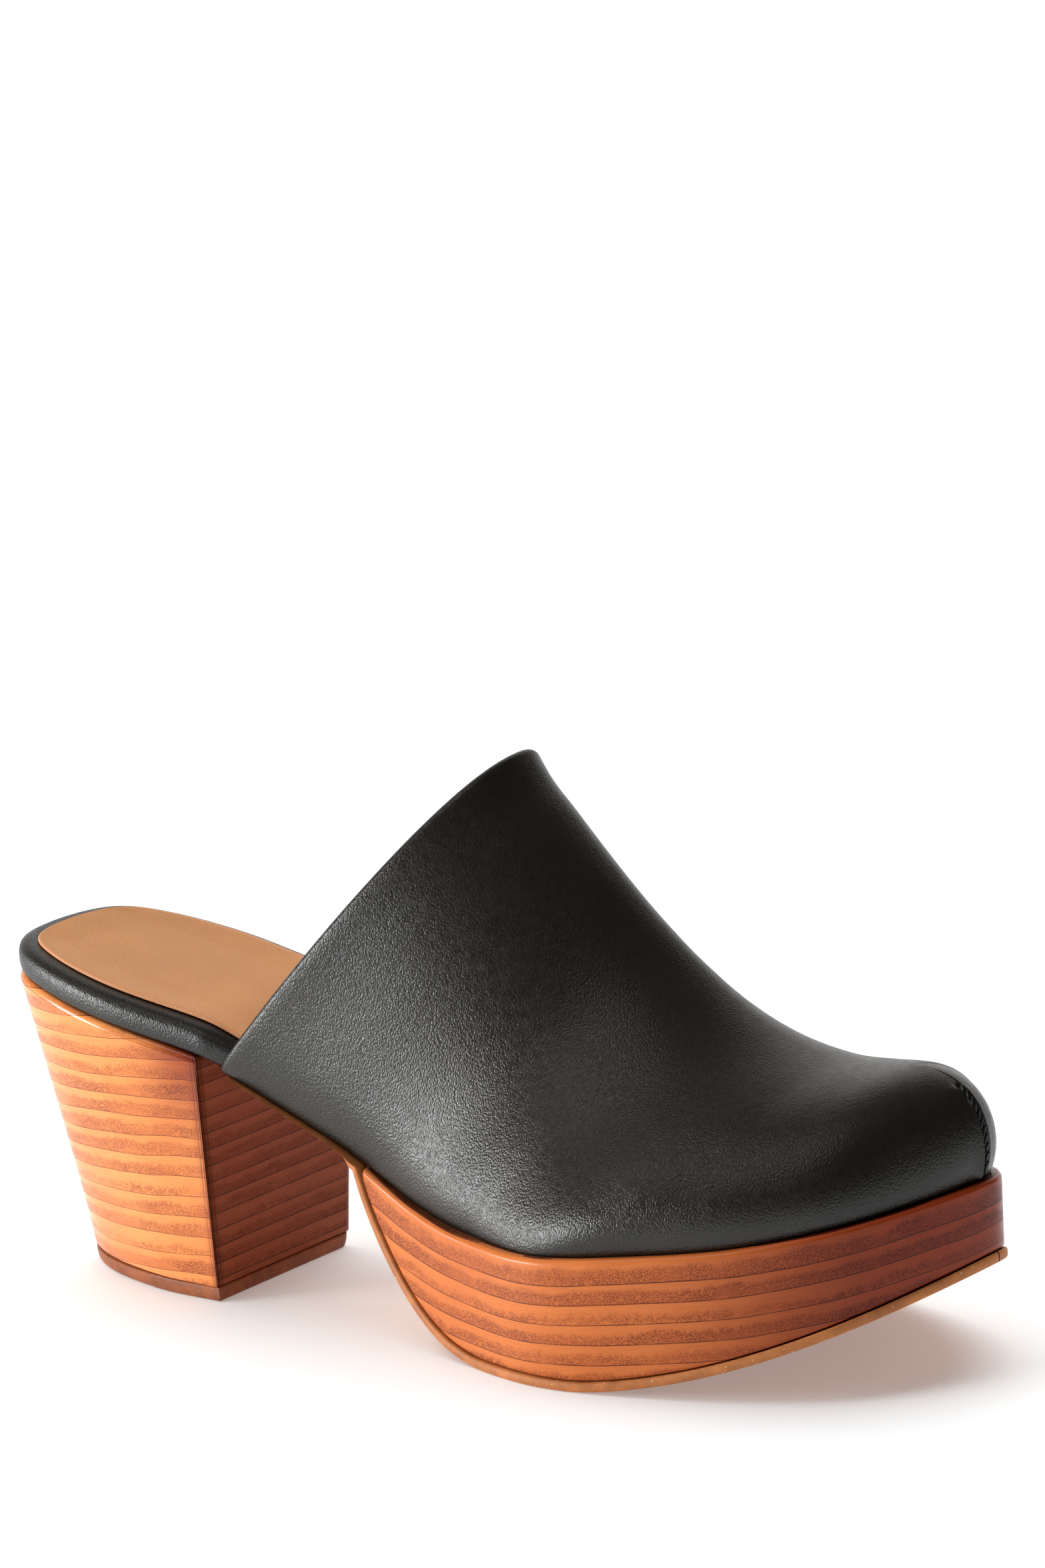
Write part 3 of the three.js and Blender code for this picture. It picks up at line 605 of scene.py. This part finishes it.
def build_outsole():
    """The rubber outsole, skived thin under the waist and up to the heel's breast."""
    line = bottom_line()
    depth = sole_depth(line[:, 0])
    proud = OUTSOLE_EDGE(line[:, 0])
    rows = []
    for share, pull in OUTSOLE_ROUND:
        level = lifted(line, depth * share)
        skived = SKIVE * (1 - share) * (1 - smoothstep(96, 106, line[:, 0])) * (share < 0.9)
        rows.append((level[:, 0], proud + pull + skived, level[:, 1]))
    return section_loft("outsole", plate_sections(rows, 30), (True, False))


def platform_floor(x):
    """Height of the underside of the wood at x, over the outsole."""
    line = lifted(bottom_line(), sole_depth(bottom_line()[:, 0], GAP))
    line = line[line[:, 0] > 104]
    order = np.argsort(line[:, 0])
    return np.interp(x, line[order, 0], line[order, 1])


PLATFORM_REAR = 107.9
PLATFORM_BEAD = 1.3              # radius of the wood's upper edge
THINNEST = 0.4                   # at the rear wedge
FAR_FROM_CORNER = 50.0           # the platform has no upright corner


def build_platform_cover():
    """A veneer round the platform, its sections closed inside by its own thickness."""
    lateral, medial = (half(side) for side in SIGN)
    lateral, medial = lateral[lateral[:, 0] > PLATFORM_REAR], medial[medial[:, 0] > PLATFORM_REAR]
    base = resample(np.vstack([lateral, medial[::-1][1:]]), np.linspace(0, 1, 420))
    inward = plan_normals(base)
    slope = (seat_height(base[:, 0] + 1) - seat_height(base[:, 0] - 1)) / 2
    sections, depths = [], []

    def ring(inset, height):
        """One line round the platform; height takes the wood's underside and top."""
        moved = base + inward * inset
        top = seat_height(moved[:, 0])
        low = np.minimum(platform_floor(moved[:, 0]), top - THINNEST)
        z = np.maximum(height(low, top), low)
        sections.append(np.column_stack([moved, z]))
        depths.append((top - z) / np.sqrt(1 + slope**2))

    def wall(inset, share):
        ring(inset, lambda low, top: lerp(low, top - PLATFORM_BEAD, share))

    wall(VENEER, 0.0)
    wall(0.35, 0.0)
    wall(0.0, 0.012)
    for share in np.linspace(0.05, 0.93, 26):
        wall(0.0, share)
    for a in np.linspace(0, math.pi / 2, 8):
        drop = PLATFORM_BEAD * (math.sin(a) - 1)
        ring(PLATFORM_BEAD * (1 - math.cos(a)), lambda low, top: top + drop)
    ring(VENEER, lambda low, top: top)
    for share in (0.75, 0.5, 0.25):
        wall(VENEER, share)
    body, depth = np.stack(sections, 1), np.stack(depths, 1)
    run = np.repeat(line_lengths(base)[:, None], body.shape[1], 1)
    return section_loft("platform_cover", body, attributes={
        "band_depth": depth, "band_run": run, "corner": 0 * run + FAR_FROM_CORNER,
        # Painted shade: the platform's wood darkens towards the toe, where the light falls off.
        "toe_shade_and_front_dark": smoothstep(175, 246, body[..., 0])})


# ---- heel ----


def breast_plane(z):
    """Where the front of the heel stands at a height."""
    return 61.7 + 1.5 * (z + 5) / 80


def seat_plane(x):
    return SEAT_LINE[0][1] - HEEL_SLOPE * x


def heel_curves(back_by, count):
    """The heel's outlines at the seat and on the ground, cut off behind the breast."""
    curves = []
    for corners, limit in ((HEEL_SEAT, breast_plane(58.9)), (HEEL_FOOT, breast_plane(0))):
        line = catmull_rom(corners, 80)
        line = line[line[:, 0] <= limit - back_by]
        curves.append(resample(line, np.linspace(0, 1, count)))
    return curves


def heel_point(seat, foot, share, inset):
    """The heel's wall at a share of its height, some way inside."""
    ring = lerp(foot, seat, share)
    moved = ring - plan_normals(ring) * inset
    x = moved[:, 0]
    return np.column_stack([moved, share * seat_plane(lerp(seat[:, 0], x, share))])


MITRE = 0.55                     # how far behind the breast's face the side veneer ends
HEEL_SHOULDER = 1.75             # radius of the wood's upper edge
FULL_HEEL = 62.9                 # x of the breast's face at the seat
MID_HEEL = 35.0                  # x where heights near the ground are taken as shares


def build_heel_side():
    """The veneer round the sides and back of the heel."""
    seat, foot = heel_curves(MITRE, 220)
    low = (TOP_LIFT + GAP) / seat_plane(MID_HEEL)
    rows = [(VENEER, low), (0.25, low), (0.0, low + 0.004)]
    rows += [(0.0, share) for share in np.linspace(low + 0.02, 0.975, 50)]
    rows += [(0.07, 0.974), (0.28, 0.984), (0.65, 0.992), (1.15, 0.998), (HEEL_SHOULDER, 1.0)]
    rows += [(VENEER, 1.0)] + [(VENEER, share) for share in np.linspace(0.8, 0.2, 4)]
    behind = {inset: heel_curves(lerp(MITRE, BREAST_VENEER + GAP, inset / VENEER), 220)
              for inset, _ in rows}
    body = np.stack([heel_point(*behind[inset], share, inset) for inset, share in rows], 1)
    lengths = line_lengths(seat)
    run = np.repeat(lengths[:, None], body.shape[1], 1)
    corner = np.repeat(np.minimum(lengths, lengths[-1] - lengths)[:, None], body.shape[1], 1)
    x, z = body[..., 0], body[..., 2]
    depth = 74 - z + 0.045 * x
    return section_loft("heel_side_cover", body, attributes={
        "band_run": run, "band_depth": depth, "corner": corner,
        # Darker towards the heel side's front corners, high up.
        "toe_shade_and_front_dark": (1 - smoothstep(2, 22, corner)) * smoothstep(30, 62, z)})


BREAST_OUTER, BREAST_INNER = 0.4, 2.2    # corner radii of the breast, lateral and medial


def build_heel_breast():
    """The flat front of the heel, rounder at its inner edge."""
    share = np.linspace(0, 1, 60)
    low, high = TOP_LIFT + GAP, seat_plane(FULL_HEEL)
    heights = np.r_[low, low + 0.25, np.linspace(low + 1.2, high - 1.0, 40), high - 0.25, high]
    pulls = np.r_[0.25, 0.06, np.zeros(40), 0.06, 0.25]

    def y_edges(z):
        t = z / high
        return lerp(-25.7, -30.4, t), lerp(25.7, 30.4, t)

    def face(z, back, pull):
        left, right = y_edges(z)
        narrow = 1.8 if back else 0.0
        y = lerp(left + narrow, right - narrow, share)
        turn = corner_drop(y - left, BREAST_OUTER) + corner_drop(right - y, BREAST_INNER) * 0.62
        x = breast_plane(z) - (back if back else pull + turn)
        return np.column_stack([0 * y + x, y, 0 * y + z])

    rows = [face(z, 0, pull) for z, pull in zip(heights, pulls)]
    rows += [face(z, BREAST_VENEER, 0) for z in heights[::-1]]
    body = np.stack(rows, 1)
    run, z = body[..., 1], body[..., 2]
    left, right = y_edges(z)
    return section_loft("heel_breast_cover", body, attributes={
        "band_run": run, "band_depth": 60 - z, "corner": np.minimum(run - left, right - run),
        "toe_shade_and_front_dark": 0 * run})


LIFT_CORNER = 2.9                # the lift's inner front corner is rounder
# The lift's ground edge: heights, each with how far it is drawn in.
LIFT_EDGE = ((0, 0.7), (0.25, 0.22), (0.8, 0.0), (1.8, -0.05), (2.8, 0.0), (3.3, 0.1), (3.5, 0.4))


def build_top_lift():
    """The rubber lift the heel stands on, its edge ground flush with the wood."""
    seat, foot = heel_curves(0.0, 160)
    rings = []
    for z, inset in LIFT_EDGE:
        ring = lerp(foot, seat, z / seat_plane(MID_HEEL))
        ring = ring - plan_normals(ring) * inset
        front = ring[-1] - ring[0]
        middle = ring[0] + front * np.sin(np.linspace(0, math.pi / 2, 50))[1:-1, None]
        whole = np.vstack([ring, middle[::-1]])
        x = whole[:, 0]
        soft = np.where(x > 55, corner_drop(ring[-1, 1] - whole[:, 1], LIFT_CORNER), 0) * (1 - 0.18 * z)
        whole[:, 0] = x - np.where(x > 40, inset, 0) - soft
        rings.append(np.column_stack([whole, 0 * x + z]))
    return section_loft("heel_top_lift", np.stack(rings))


# ---- materials ----


def linear(*rgb):
    """A display colour, 0 to 255, as the linear colour a shader takes."""
    shares = [c / 255 for c in rgb]
    return (*(c / 12.92 if c <= 0.0404 else ((c + 0.055) / 1.055)**2.4 for c in shares), 1.0)


class Shader:
    """A material's node tree, with short calls for the nodes it needs."""

    def __init__(self, name, **values):
        self.material = bpy.data.materials.new(name)
        self.material.use_nodes = True
        self.tree = self.material.node_tree
        self.tree.nodes.clear()
        self.surface = self.node("BsdfPrincipled", **values)
        self.link(self.surface.outputs[0], self.node("OutputMaterial").inputs[0])
        metres = self.node("TexCoord").outputs["Object"]
        self.place = self.node("Mapping", Vector=metres, Scale=(1000, 1000, 1000)).outputs[0]

    def link(self, start, end):
        self.tree.links.new(start, end)

    def node(self, kind, settings=None, **values):
        node = self.tree.nodes.new("ShaderNode" + kind)
        for key, value in (settings or {}).items():
            setattr(node, key, value)
        for key, value in values.items():
            socket = node.inputs[int(key[1:])] if key[0] == "_" else node.inputs[key.replace("_", " ")]
            if isinstance(value, bpy.types.NodeSocket):
                self.link(value, socket)
            else:
                socket.default_value = value
        return node

    def math(self, operation, a, b=0.0, c=0.0):
        return self.node("Math", {"operation": operation}, _0=a, _1=b, _2=c).outputs[0]

    def times(self, a, b):
        return self.math("MULTIPLY", a, b)

    def plus(self, a, b):
        return self.math("ADD", a, b)

    def minus(self, a, b):
        return self.math("SUBTRACT", a, b)

    def noise(self, scale, detail=3.0, roughness=0.5, place=None, distortion=0.0):
        return self.node("TexNoise", Vector=place or self.place, Scale=scale, Detail=detail,
                         Roughness=roughness, Distortion=distortion).outputs[0]

    def cells(self, scale, place=None, feature="F1"):
        return self.node("TexVoronoi", {"feature": feature}, Vector=place or self.place,
                         Scale=scale).outputs["Distance"]

    def ramp(self, factor, stops):
        node = self.node("ValToRGB", Fac=factor)
        elements = node.color_ramp.elements
        while len(elements) < len(stops):
            elements.new(0.5)
        for element, (position, value) in zip(elements, stops):
            element.position = position
            element.color = value if isinstance(value, tuple) else (value, value, value, 1)
        return node.outputs[0]

    def span(self, value, low, high, out_low=0.0, out_high=1.0):
        return self.node("MapRange", Value=value, From_Min=low, From_Max=high,
                         To_Min=out_low, To_Max=out_high).outputs[0]

    def mix(self, factor, a, b, blend="MIX"):
        node = self.node("Mix", {"data_type": "RGBA", "blend_type": blend}, _0=factor, _6=a, _7=b)
        return node.outputs[2]

    def number(self, name):
        return self.node("Attribute", {"attribute_name": name}).outputs["Fac"]

    def combine(self, x, y, z=0.0):
        return self.node("CombineXYZ", X=x, Y=y, Z=z).outputs[0]

    def warped(self, place, scale, detail, reach):
        """A place moved about by a noise."""
        noise = self.node("TexNoise", Vector=place, Scale=scale, Detail=detail).outputs[1]
        moved = self.node("VectorMath", {"operation": "SCALE"}, _0=noise, Scale=reach).outputs[0]
        return self.node("VectorMath", {"operation": "ADD"}, _0=place, _1=moved).outputs[0]

    def stretched(self, x, y, z):
        return self.node("Mapping", Vector=self.place, Scale=(x, y, z)).outputs[0]

    def bump(self, height, distance, strength):
        return self.node("Bump", Height=height, Distance=distance * MM, Strength=strength).outputs[0]

    def set(self, **values):
        for key, value in values.items():
            self.link(value, self.surface.inputs[key.replace("_", " ")])
        return self.material


def black_leather(name, gloss=0.34, base=(25, 20, 13), crease=0.04):
    """Fine pebble grain with long creases, under a thin satin finish."""
    s = Shader(name, Specular_IOR_Level=0.5)
    warp = s.warped(s.place, 0.6, 2.0, 0.7)
    pebbles = s.cells(2.3, s.node("Mapping", Vector=warp, Scale=(1.15, 1.15, 0.7)).outputs[0])
    fine = s.noise(3.6, 3.0, 0.5)
    long_creases = s.cells(0.42, s.node("Mapping", Vector=warp, Scale=(0.8, 1.0, 2.6),
                                        Rotation=(0.2, 0.7, 0.3)).outputs[0], "DISTANCE_TO_EDGE")
    creases = s.span(long_creases, 0.0, 0.16)
    height = s.minus(s.times(fine, 0.4), s.times(pebbles, 0.9))
    height = s.plus(height, s.times(creases, crease))
    normal = s.bump(height, 0.1, 0.9)
    hollow_shade, dull, pale = (linear(*(c * share for c in base)) for share in (0.6, 0.86, 1.14))
    colour = s.ramp(s.noise(0.05, 4.0), [(0.3, dull), (0.7, pale)])
    # Painted shade: the colour darkens in the hollows between the pebbles.
    colour = s.mix(s.span(pebbles, 0.2, 0.75, 0.0, 0.35), colour, hollow_shade)
    rough = s.span(s.noise(0.5, 3.0), 0.3, 0.7, gloss - 0.04, gloss + 0.06)
    return s.set(Base_Color=colour, Roughness=rough, Normal=normal)


def stacked_wood(name, first, pitch, light, mid, dark, line, speckle=1.0, wander=0.35, gloss=0.3,
                 line_width=0.045, coat=0.05, patch=0.6, specular=0.25, fade=0.6):
    """Stained bands: smooth and light above, mottled and dark below, each closed by a fine dark line.

    first is the depth of the first band and pitch that of the others, in millimetres.
    """
    s = Shader(name, Specular_IOR_Level=specular, Coat_Weight=coat, Coat_Roughness=0.18)
    run, depth = s.number("band_run"), s.number("band_depth")
    sway = s.noise(0.018, 2.0, 0.5, s.combine(run, s.times(depth, 2.0)))
    below = s.minus(depth, first)
    phase = s.math("MAXIMUM", s.math("DIVIDE", below, pitch), s.math("DIVIDE", below, max(first, pitch)))
    phase = s.plus(phase, s.times(s.minus(sway, 0.5), wander))
    phase = s.plus(phase, 40.0)
    band, level = s.math("FRACT", phase), s.math("FLOOR", phase)
    # Mottling: crackled light threads over the dark part of each band.
    edge_noise = s.noise(0.09, 3.0, 0.6, s.combine(run, s.times(level, 17.0)))
    crackle_place = s.warped(s.combine(run, depth), 1.4, 3.0, 0.8)
    crackle = s.plus(s.times(s.noise(2.1, 6.0, 0.68, crackle_place, 1.6), 0.55),
                     s.times(s.noise(0.8, 4.0, 0.65, crackle_place, 0.8), 0.45))
    threads = s.cells(1.5, crackle_place, "DISTANCE_TO_EDGE")
    depth_in_band = s.plus(band, s.times(s.minus(edge_noise, 0.5), 0.85))
    shade = s.ramp(depth_in_band, [(0.0, 0.1), (0.24, 0.18), (0.46, 0.62), (0.75, 1.0), (1.0, 0.8)])
    # Some layers took the stain better than others.
    layer = s.span(s.noise(1.0, 0.0, 0.5, s.combine(s.times(level, 3.7), 2.5)), 0.3, 0.7, -0.1, 0.1)
    patchy = s.noise(0.07, 3.0, 0.6, s.combine(s.times(run, 0.6), s.times(depth, 1.6)))
    spots = s.span(s.plus(s.plus(crackle, layer), s.times(s.minus(shade, 0.5), 0.3)), 0.44, 0.56)
    spots = s.times(spots, s.span(threads, 0.02, 0.12))
    spots = s.times(spots, s.span(shade, 0.05, 0.6))
    spots = s.times(spots, s.span(patchy, 0.38, 0.6, patch, 1.0))
    colour = s.mix(s.plus(s.span(shade, 0.0, 1.0, 0.0, fade), layer), light, mid)
    colour = s.mix(s.times(spots, 0.9 * speckle), colour, dark)
    broad = s.noise(0.045, 3.0, 0.5, s.combine(run, s.times(depth, 0.6)))
    colour = s.mix(s.span(broad, 0.35, 0.7, 0.0, 0.4), colour, mid)
    grain = s.noise(0.9, 4.0, 0.6, s.combine(s.times(run, 0.12), s.times(depth, 3.0)))
    colour = s.mix(s.span(grain, 0.35, 0.75, 0.0, 0.2), colour, dark)
    seam = s.math("GREATER_THAN", band, 1 - line_width)
    seam = s.times(seam, s.span(s.noise(0.12, 3.0, 0.5, s.combine(run, level)), 0.3, 0.55, 0.35, 0.9))
    colour = s.mix(seam, colour, line)
    # Stain gathers along the upright corners, with two fine dark lines.
    corner = s.number("corner")
    colour = s.mix(s.span(s.plus(corner, s.times(broad, 2.5)), 1.0, 4.5, 0.55, 0.0), colour, dark)
    lines = s.plus(s.math("COMPARE", corner, 0.35, 0.16), s.math("COMPARE", corner, 1.25, 0.1))
    colour = s.mix(s.times(lines, 0.75), colour, line)
    # Painted shade darkens the platform towards its toe; the heel's side is darker at its front top
    # corners.
    colour = s.mix(s.times(s.number("toe_shade_and_front_dark"), 0.92), colour, linear(160, 92, 52), "MULTIPLY")
    height = s.minus(s.times(crackle, 0.35), s.times(seam, 0.9))
    normal = s.bump(height, 0.09, 0.7)
    rough = s.span(spots, 0.0, 1.0, gloss, gloss + 0.16)
    return s.set(Base_Color=colour, Roughness=rough, Normal=normal)


def tan_leather():
    s = Shader("sock_leather", Specular_IOR_Level=0.4)
    grain = s.cells(1.5)
    soft = s.noise(0.06, 4.0)
    colour = s.ramp(soft, [(0.3, linear(194, 130, 74)), (0.7, linear(206, 143, 86))])
    colour = s.mix(s.span(grain, 0.25, 0.8, 0.0, 0.16), colour, linear(150, 92, 50))
    fibres = s.noise(2.6, 4.0, 0.6)
    cut = s.ramp(fibres, [(0.35, linear(206, 134, 88)), (0.7, linear(222, 160, 116))])
    colour = s.mix(s.number("cut_edge"), colour, cut)
    height = s.plus(grain, s.times(fibres, 0.6))
    return s.set(Base_Color=colour, Normal=s.bump(height, 0.1, 0.6),
                 Roughness=s.span(soft, 0.3, 0.7, 0.5, 0.6))


def rubber(name, light, dark, speck):
    """Rubber with a ground edge: fine streaks and small pale specks."""
    s = Shader(name, Specular_IOR_Level=0.35)
    mottled = s.noise(0.25, 5.0, 0.6)
    streaks = s.noise(0.8, 3.0, 0.5, s.stretched(0.2, 0.2, 2.5))
    colour = s.ramp(mottled, [(0.3, dark), (0.7, light)])
    colour = s.mix(s.span(streaks, 0.5, 0.75, 0.0, 0.3), colour, dark)
    dots = s.cells(0.55)
    colour = s.mix(s.times(s.math("LESS_THAN", dots, 0.12), 0.55), colour, speck)
    height = s.plus(mottled, s.noise(2.5, 3.0))
    return s.set(Base_Color=colour, Normal=s.bump(height, 0.08, 0.6),
                 Roughness=s.span(mottled, 0.3, 0.7, 0.5, 0.66))


def plain_detail(name, light, dark, scale, roughness, metallic=0.0, stretch=(1, 1, 1), bump=0.06):
    """A finish for the hidden pieces: two tones in a noise at the material's own scale."""
    s = Shader(name, Metallic=metallic)
    pattern = s.noise(scale, 5.0, 0.6, s.stretched(*stretch))
    colour = s.ramp(pattern, [(0.32, dark), (0.68, light)])
    return s.set(Base_Color=colour, Normal=s.bump(pattern, bump, 0.7),
                 Roughness=s.span(pattern, 0.3, 0.7, roughness - 0.05, roughness + 0.08))


BLACK = black_leather("upper_black_leather")
RIM = black_leather("rim_black_leather", gloss=0.36, base=(22, 19, 14), crease=0.0)
SIDE_WOOD = stacked_wood("heel_side_wood", 4.7, 4.7, linear(244, 155, 86), linear(226, 124, 58),
                         linear(134, 52, 22), linear(116, 46, 20), wander=0.85, gloss=0.26,
                         line_width=0.03, coat=0.2, patch=0.5, fade=0.4)
BREAST_WOOD = stacked_wood("heel_breast_wood", 3.9, 3.9, linear(150, 76, 38), linear(134, 62, 30),
                           linear(84, 34, 16), linear(40, 14, 7), speckle=0.8, wander=0.14, gloss=0.5,
                           line_width=0.06, coat=0.0, specular=0.12, fade=0.3)
PLATFORM_WOOD = stacked_wood("platform_wood", 5.7, 4.4, linear(220, 126, 64), linear(202, 104, 50),
                             linear(110, 42, 20), linear(88, 34, 16), fade=0.5, specular=0.2)
SOCK_LEATHER = tan_leather()
SOLE_RUBBER = rubber("sole_rubber", linear(204, 128, 70), linear(164, 98, 52), linear(226, 190, 148))
LIFT_RUBBER = rubber("lift_rubber", linear(160, 92, 52), linear(118, 64, 33), linear(180, 124, 84))
LINING_LEATHER = plain_detail("lining_leather", linear(196, 164, 128), linear(178, 144, 108), 0.8, 0.62)
THREAD = plain_detail("waxed_thread", linear(22, 21, 20), linear(12, 12, 12), 3.0, 0.42,
                      stretch=(1, 1, 4))
FOAM = plain_detail("open_cell_foam", linear(228, 216, 190), linear(205, 190, 160), 1.6, 0.85, bump=0.2)
NODE_FINISHES = {
    "stiffener": plain_detail("resin_fabric", linear(226, 222, 212), linear(206, 200, 188), 1.2, 0.8),
    "fibre_board": plain_detail("pressed_fibre", linear(172, 140, 104), linear(140, 110, 78), 0.9, 0.75,
                                stretch=(0.4, 1, 1)),
    "steel": plain_detail("drawn_steel", linear(196, 198, 202), linear(150, 152, 158), 2.0, 0.34, 1.0,
                          (0.1, 1, 1)),
    "cork": plain_detail("ground_cork", linear(196, 158, 112), linear(140, 102, 64), 0.7, 0.85,
                         bump=0.25),
    "core_wood": plain_detail("sawn_wood", linear(168, 104, 60), linear(136, 80, 44), 0.5, 0.7,
                              stretch=(0.08, 1, 1.6)),
}

# ---- pieces ----

upper = finish_piece(build_upper(), BLACK, "black_leather", "upper_leather")
lining_shares = np.r_[3.2 / UPPER_RUN, np.linspace(0.03, 1, 70)]
finish_piece(shell_between("upper_lining", lining_shares, np.linspace(0.05, 1, 36), LINING_DEPTH,
                           LINING_DEPTH + LINING), LINING_LEATHER, "lining_leather", "upper_lining")
finish_piece(strip_between("topline_tape", np.linspace(3.4, 9.0, 4), np.linspace(0.06, 1, 40), 1.3, 1.7),
             NODE_FINISHES["stiffener"], "stiffener", "topline_tape")
finish_piece(build_stitches(), THREAD, "black_thread", "toe_seam_thread")
finish_piece(build_wrap(), RIM, "black_leather", "footbed_wrap")
finish_piece(build_sock(), SOCK_LEATHER, "tan_leather", "sock_lining")
foam = finish_piece(build_foam(), FOAM, "foam", "footbed_foam")
finish_piece(build_outsole(), SOLE_RUBBER, "tan_rubber", "outsole")
finish_piece(build_platform_cover(), PLATFORM_WOOD, "stacked_wood", "platform_cover")
finish_piece(build_heel_side(), SIDE_WOOD, "stacked_wood", "heel_side_cover")
finish_piece(build_heel_breast(), BREAST_WOOD, "breast_wood", "heel_breast_cover")
finish_piece(build_top_lift(), LIFT_RUBBER, "top_lift_rubber", "heel_top_lift")

# The hidden inner pieces stay as they are in the frame, with the finish of their slot.
for part in frame["record"]["subparts"]:
    node, finish = frame["nodes"].get(part["node"]), NODE_FINISHES.get(part["material_slot"])
    if node is not None and finish is not None:
        for material_slot in node.material_slots:
            material_slot.material = finish

# ---- floor, lights and camera ----

FLOOR_REACH = 60.0               # metres, so its edge is never seen
floor_mesh = bpy.data.meshes.new("floor")
floor_corners = [(FLOOR_REACH * x, FLOOR_REACH * y, 0) for x, y in ((-1, -1), (1, -1), (1, 1), (-1, 1))]
floor_mesh.from_pydata(floor_corners, [], [(0, 1, 2, 3)])
floor = bpy.data.objects.new("floor", floor_mesh)
bpy.context.scene.collection.objects.link(floor)
# The floor glows a little: painted light that lifts its shadows and lights the shoe from below. Its faint
# blue tint offsets the warm light the wood bounces into those shadows.
floor_glow = Shader("glowing_floor", Roughness=0.8, Specular_IOR_Level=0.1, Emission_Strength=0.23,
               Emission_Color=(1, 1, 1, 1))
floor_mesh.materials.append(floor_glow.set(Base_Color=floor_glow.ramp(floor_glow.noise(0.004), [
    (0.0, (0.86, 0.89, 0.90, 1)), (1.0, (0.88, 0.91, 0.92, 1))])))

world = bpy.data.worlds.new("studio")
bpy.context.scene.world = world
world.use_nodes = True
tree = world.node_tree
towards = tree.nodes.new("ShaderNodeTexCoord").outputs["Generated"]


def world_ramp(direction, stops):
    """Brightness by how far a direction of the studio leans towards another."""
    dot = tree.nodes.new("ShaderNodeVectorMath")
    dot.operation = "DOT_PRODUCT"
    dot.inputs[1].default_value = direction
    tree.links.new(towards, dot.inputs[0])
    ramp = tree.nodes.new("ShaderNodeMapRange")
    ramp.interpolation_type = "SMOOTHSTEP"
    for key, value in zip(("From Min", "From Max", "To Min", "To Max"), stops):
        ramp.inputs[key].default_value = value
    tree.links.new(dot.outputs["Value"], ramp.inputs["Value"])
    return ramp.outputs[0]


# A white backdrop behind the shoe, a paler ceiling, and a dim room in front of it.
both = tree.nodes.new("ShaderNodeMath")
both.operation = "MAXIMUM"
tree.links.new(world_ramp((-0.566, 0.824, 0.0), (0.45, 0.85, 0.05, 1.08)), both.inputs[0])
tree.links.new(world_ramp((0.0, 0.0, 1.0), (0.45, 0.95, 0.05, 0.13)), both.inputs[1])
tree.links.new(both.outputs[0], tree.nodes["Background"].inputs["Strength"])
tree.nodes["Background"].inputs["Color"].default_value = (1, 0.985, 0.96, 1)


def soft_light(name, azimuth, elevation, distance, width, height, power):
    """A soft box that looks at the middle of the shoe."""
    data = bpy.data.lights.new(name, "AREA")
    data.shape, data.size, data.size_y, data.energy = "RECTANGLE", width, height, power
    lamp = bpy.data.objects.new(name, data)
    bpy.context.scene.collection.objects.link(lamp)
    a, e = math.radians(azimuth), math.radians(elevation)
    away = Vector((math.cos(a) * math.cos(e), math.sin(a) * math.cos(e), math.sin(e)))
    lamp.location = Vector((0, 0, 0.06)) + away * distance
    lamp.rotation_euler = away.to_track_quat("Z", "Y").to_euler()


soft_light("key", -142, 5, 1.3, 0.55, 0.32, 16.5)
soft_light("glint", -118, 56, 1.2, 0.4, 0.25, 1.8)
sun_data = bpy.data.lights.new("ceiling", "SUN")
sun_data.energy, sun_data.angle = 2.5, math.radians(70)
sun = bpy.data.objects.new("ceiling", sun_data)
bpy.context.scene.collection.objects.link(sun)
sun.rotation_euler = Vector((-0.25, 0.3, 1.0)).to_track_quat("Z", "Y").to_euler()
sun.visible_glossy = False

EYE_AZIMUTH, EYE_ELEVATION, ROLL = math.radians(34.5), math.radians(11.4), math.radians(-3.0)
EYE_DISTANCE = 1.302             # metres from the target
TARGET = np.array([135.3, 0.2, 121.4])
FOCAL_LENGTH, SENSOR_WIDTH = 134.9, 36.0
sa, ca = math.sin(EYE_AZIMUTH), math.cos(EYE_AZIMUTH)
se, ce = math.sin(EYE_ELEVATION), math.cos(EYE_ELEVATION)
back = Vector((sa * ce, -ca * ce, se))
right_level, up_level = Vector((ca, sa, 0)), Vector((-sa * se, ca * se, ce))
right = right_level * math.cos(ROLL) + up_level * math.sin(ROLL)
up_axis = up_level * math.cos(ROLL) - right_level * math.sin(ROLL)
camera_data = bpy.data.cameras.new("camera")
camera_data.lens, camera_data.sensor_width, camera_data.clip_start = FOCAL_LENGTH, SENSOR_WIDTH, 0.05
camera = bpy.data.objects.new("camera", camera_data)
bpy.context.scene.collection.objects.link(camera)
camera.matrix_world = Matrix.Translation(Vector((TARGET + SHIFT) * MM) + back * EYE_DISTANCE) @ Matrix(
    (right, up_axis, back)).transposed().to_4x4()
bpy.context.scene.camera = camera
bpy.context.scene.view_settings.view_transform = "Standard"
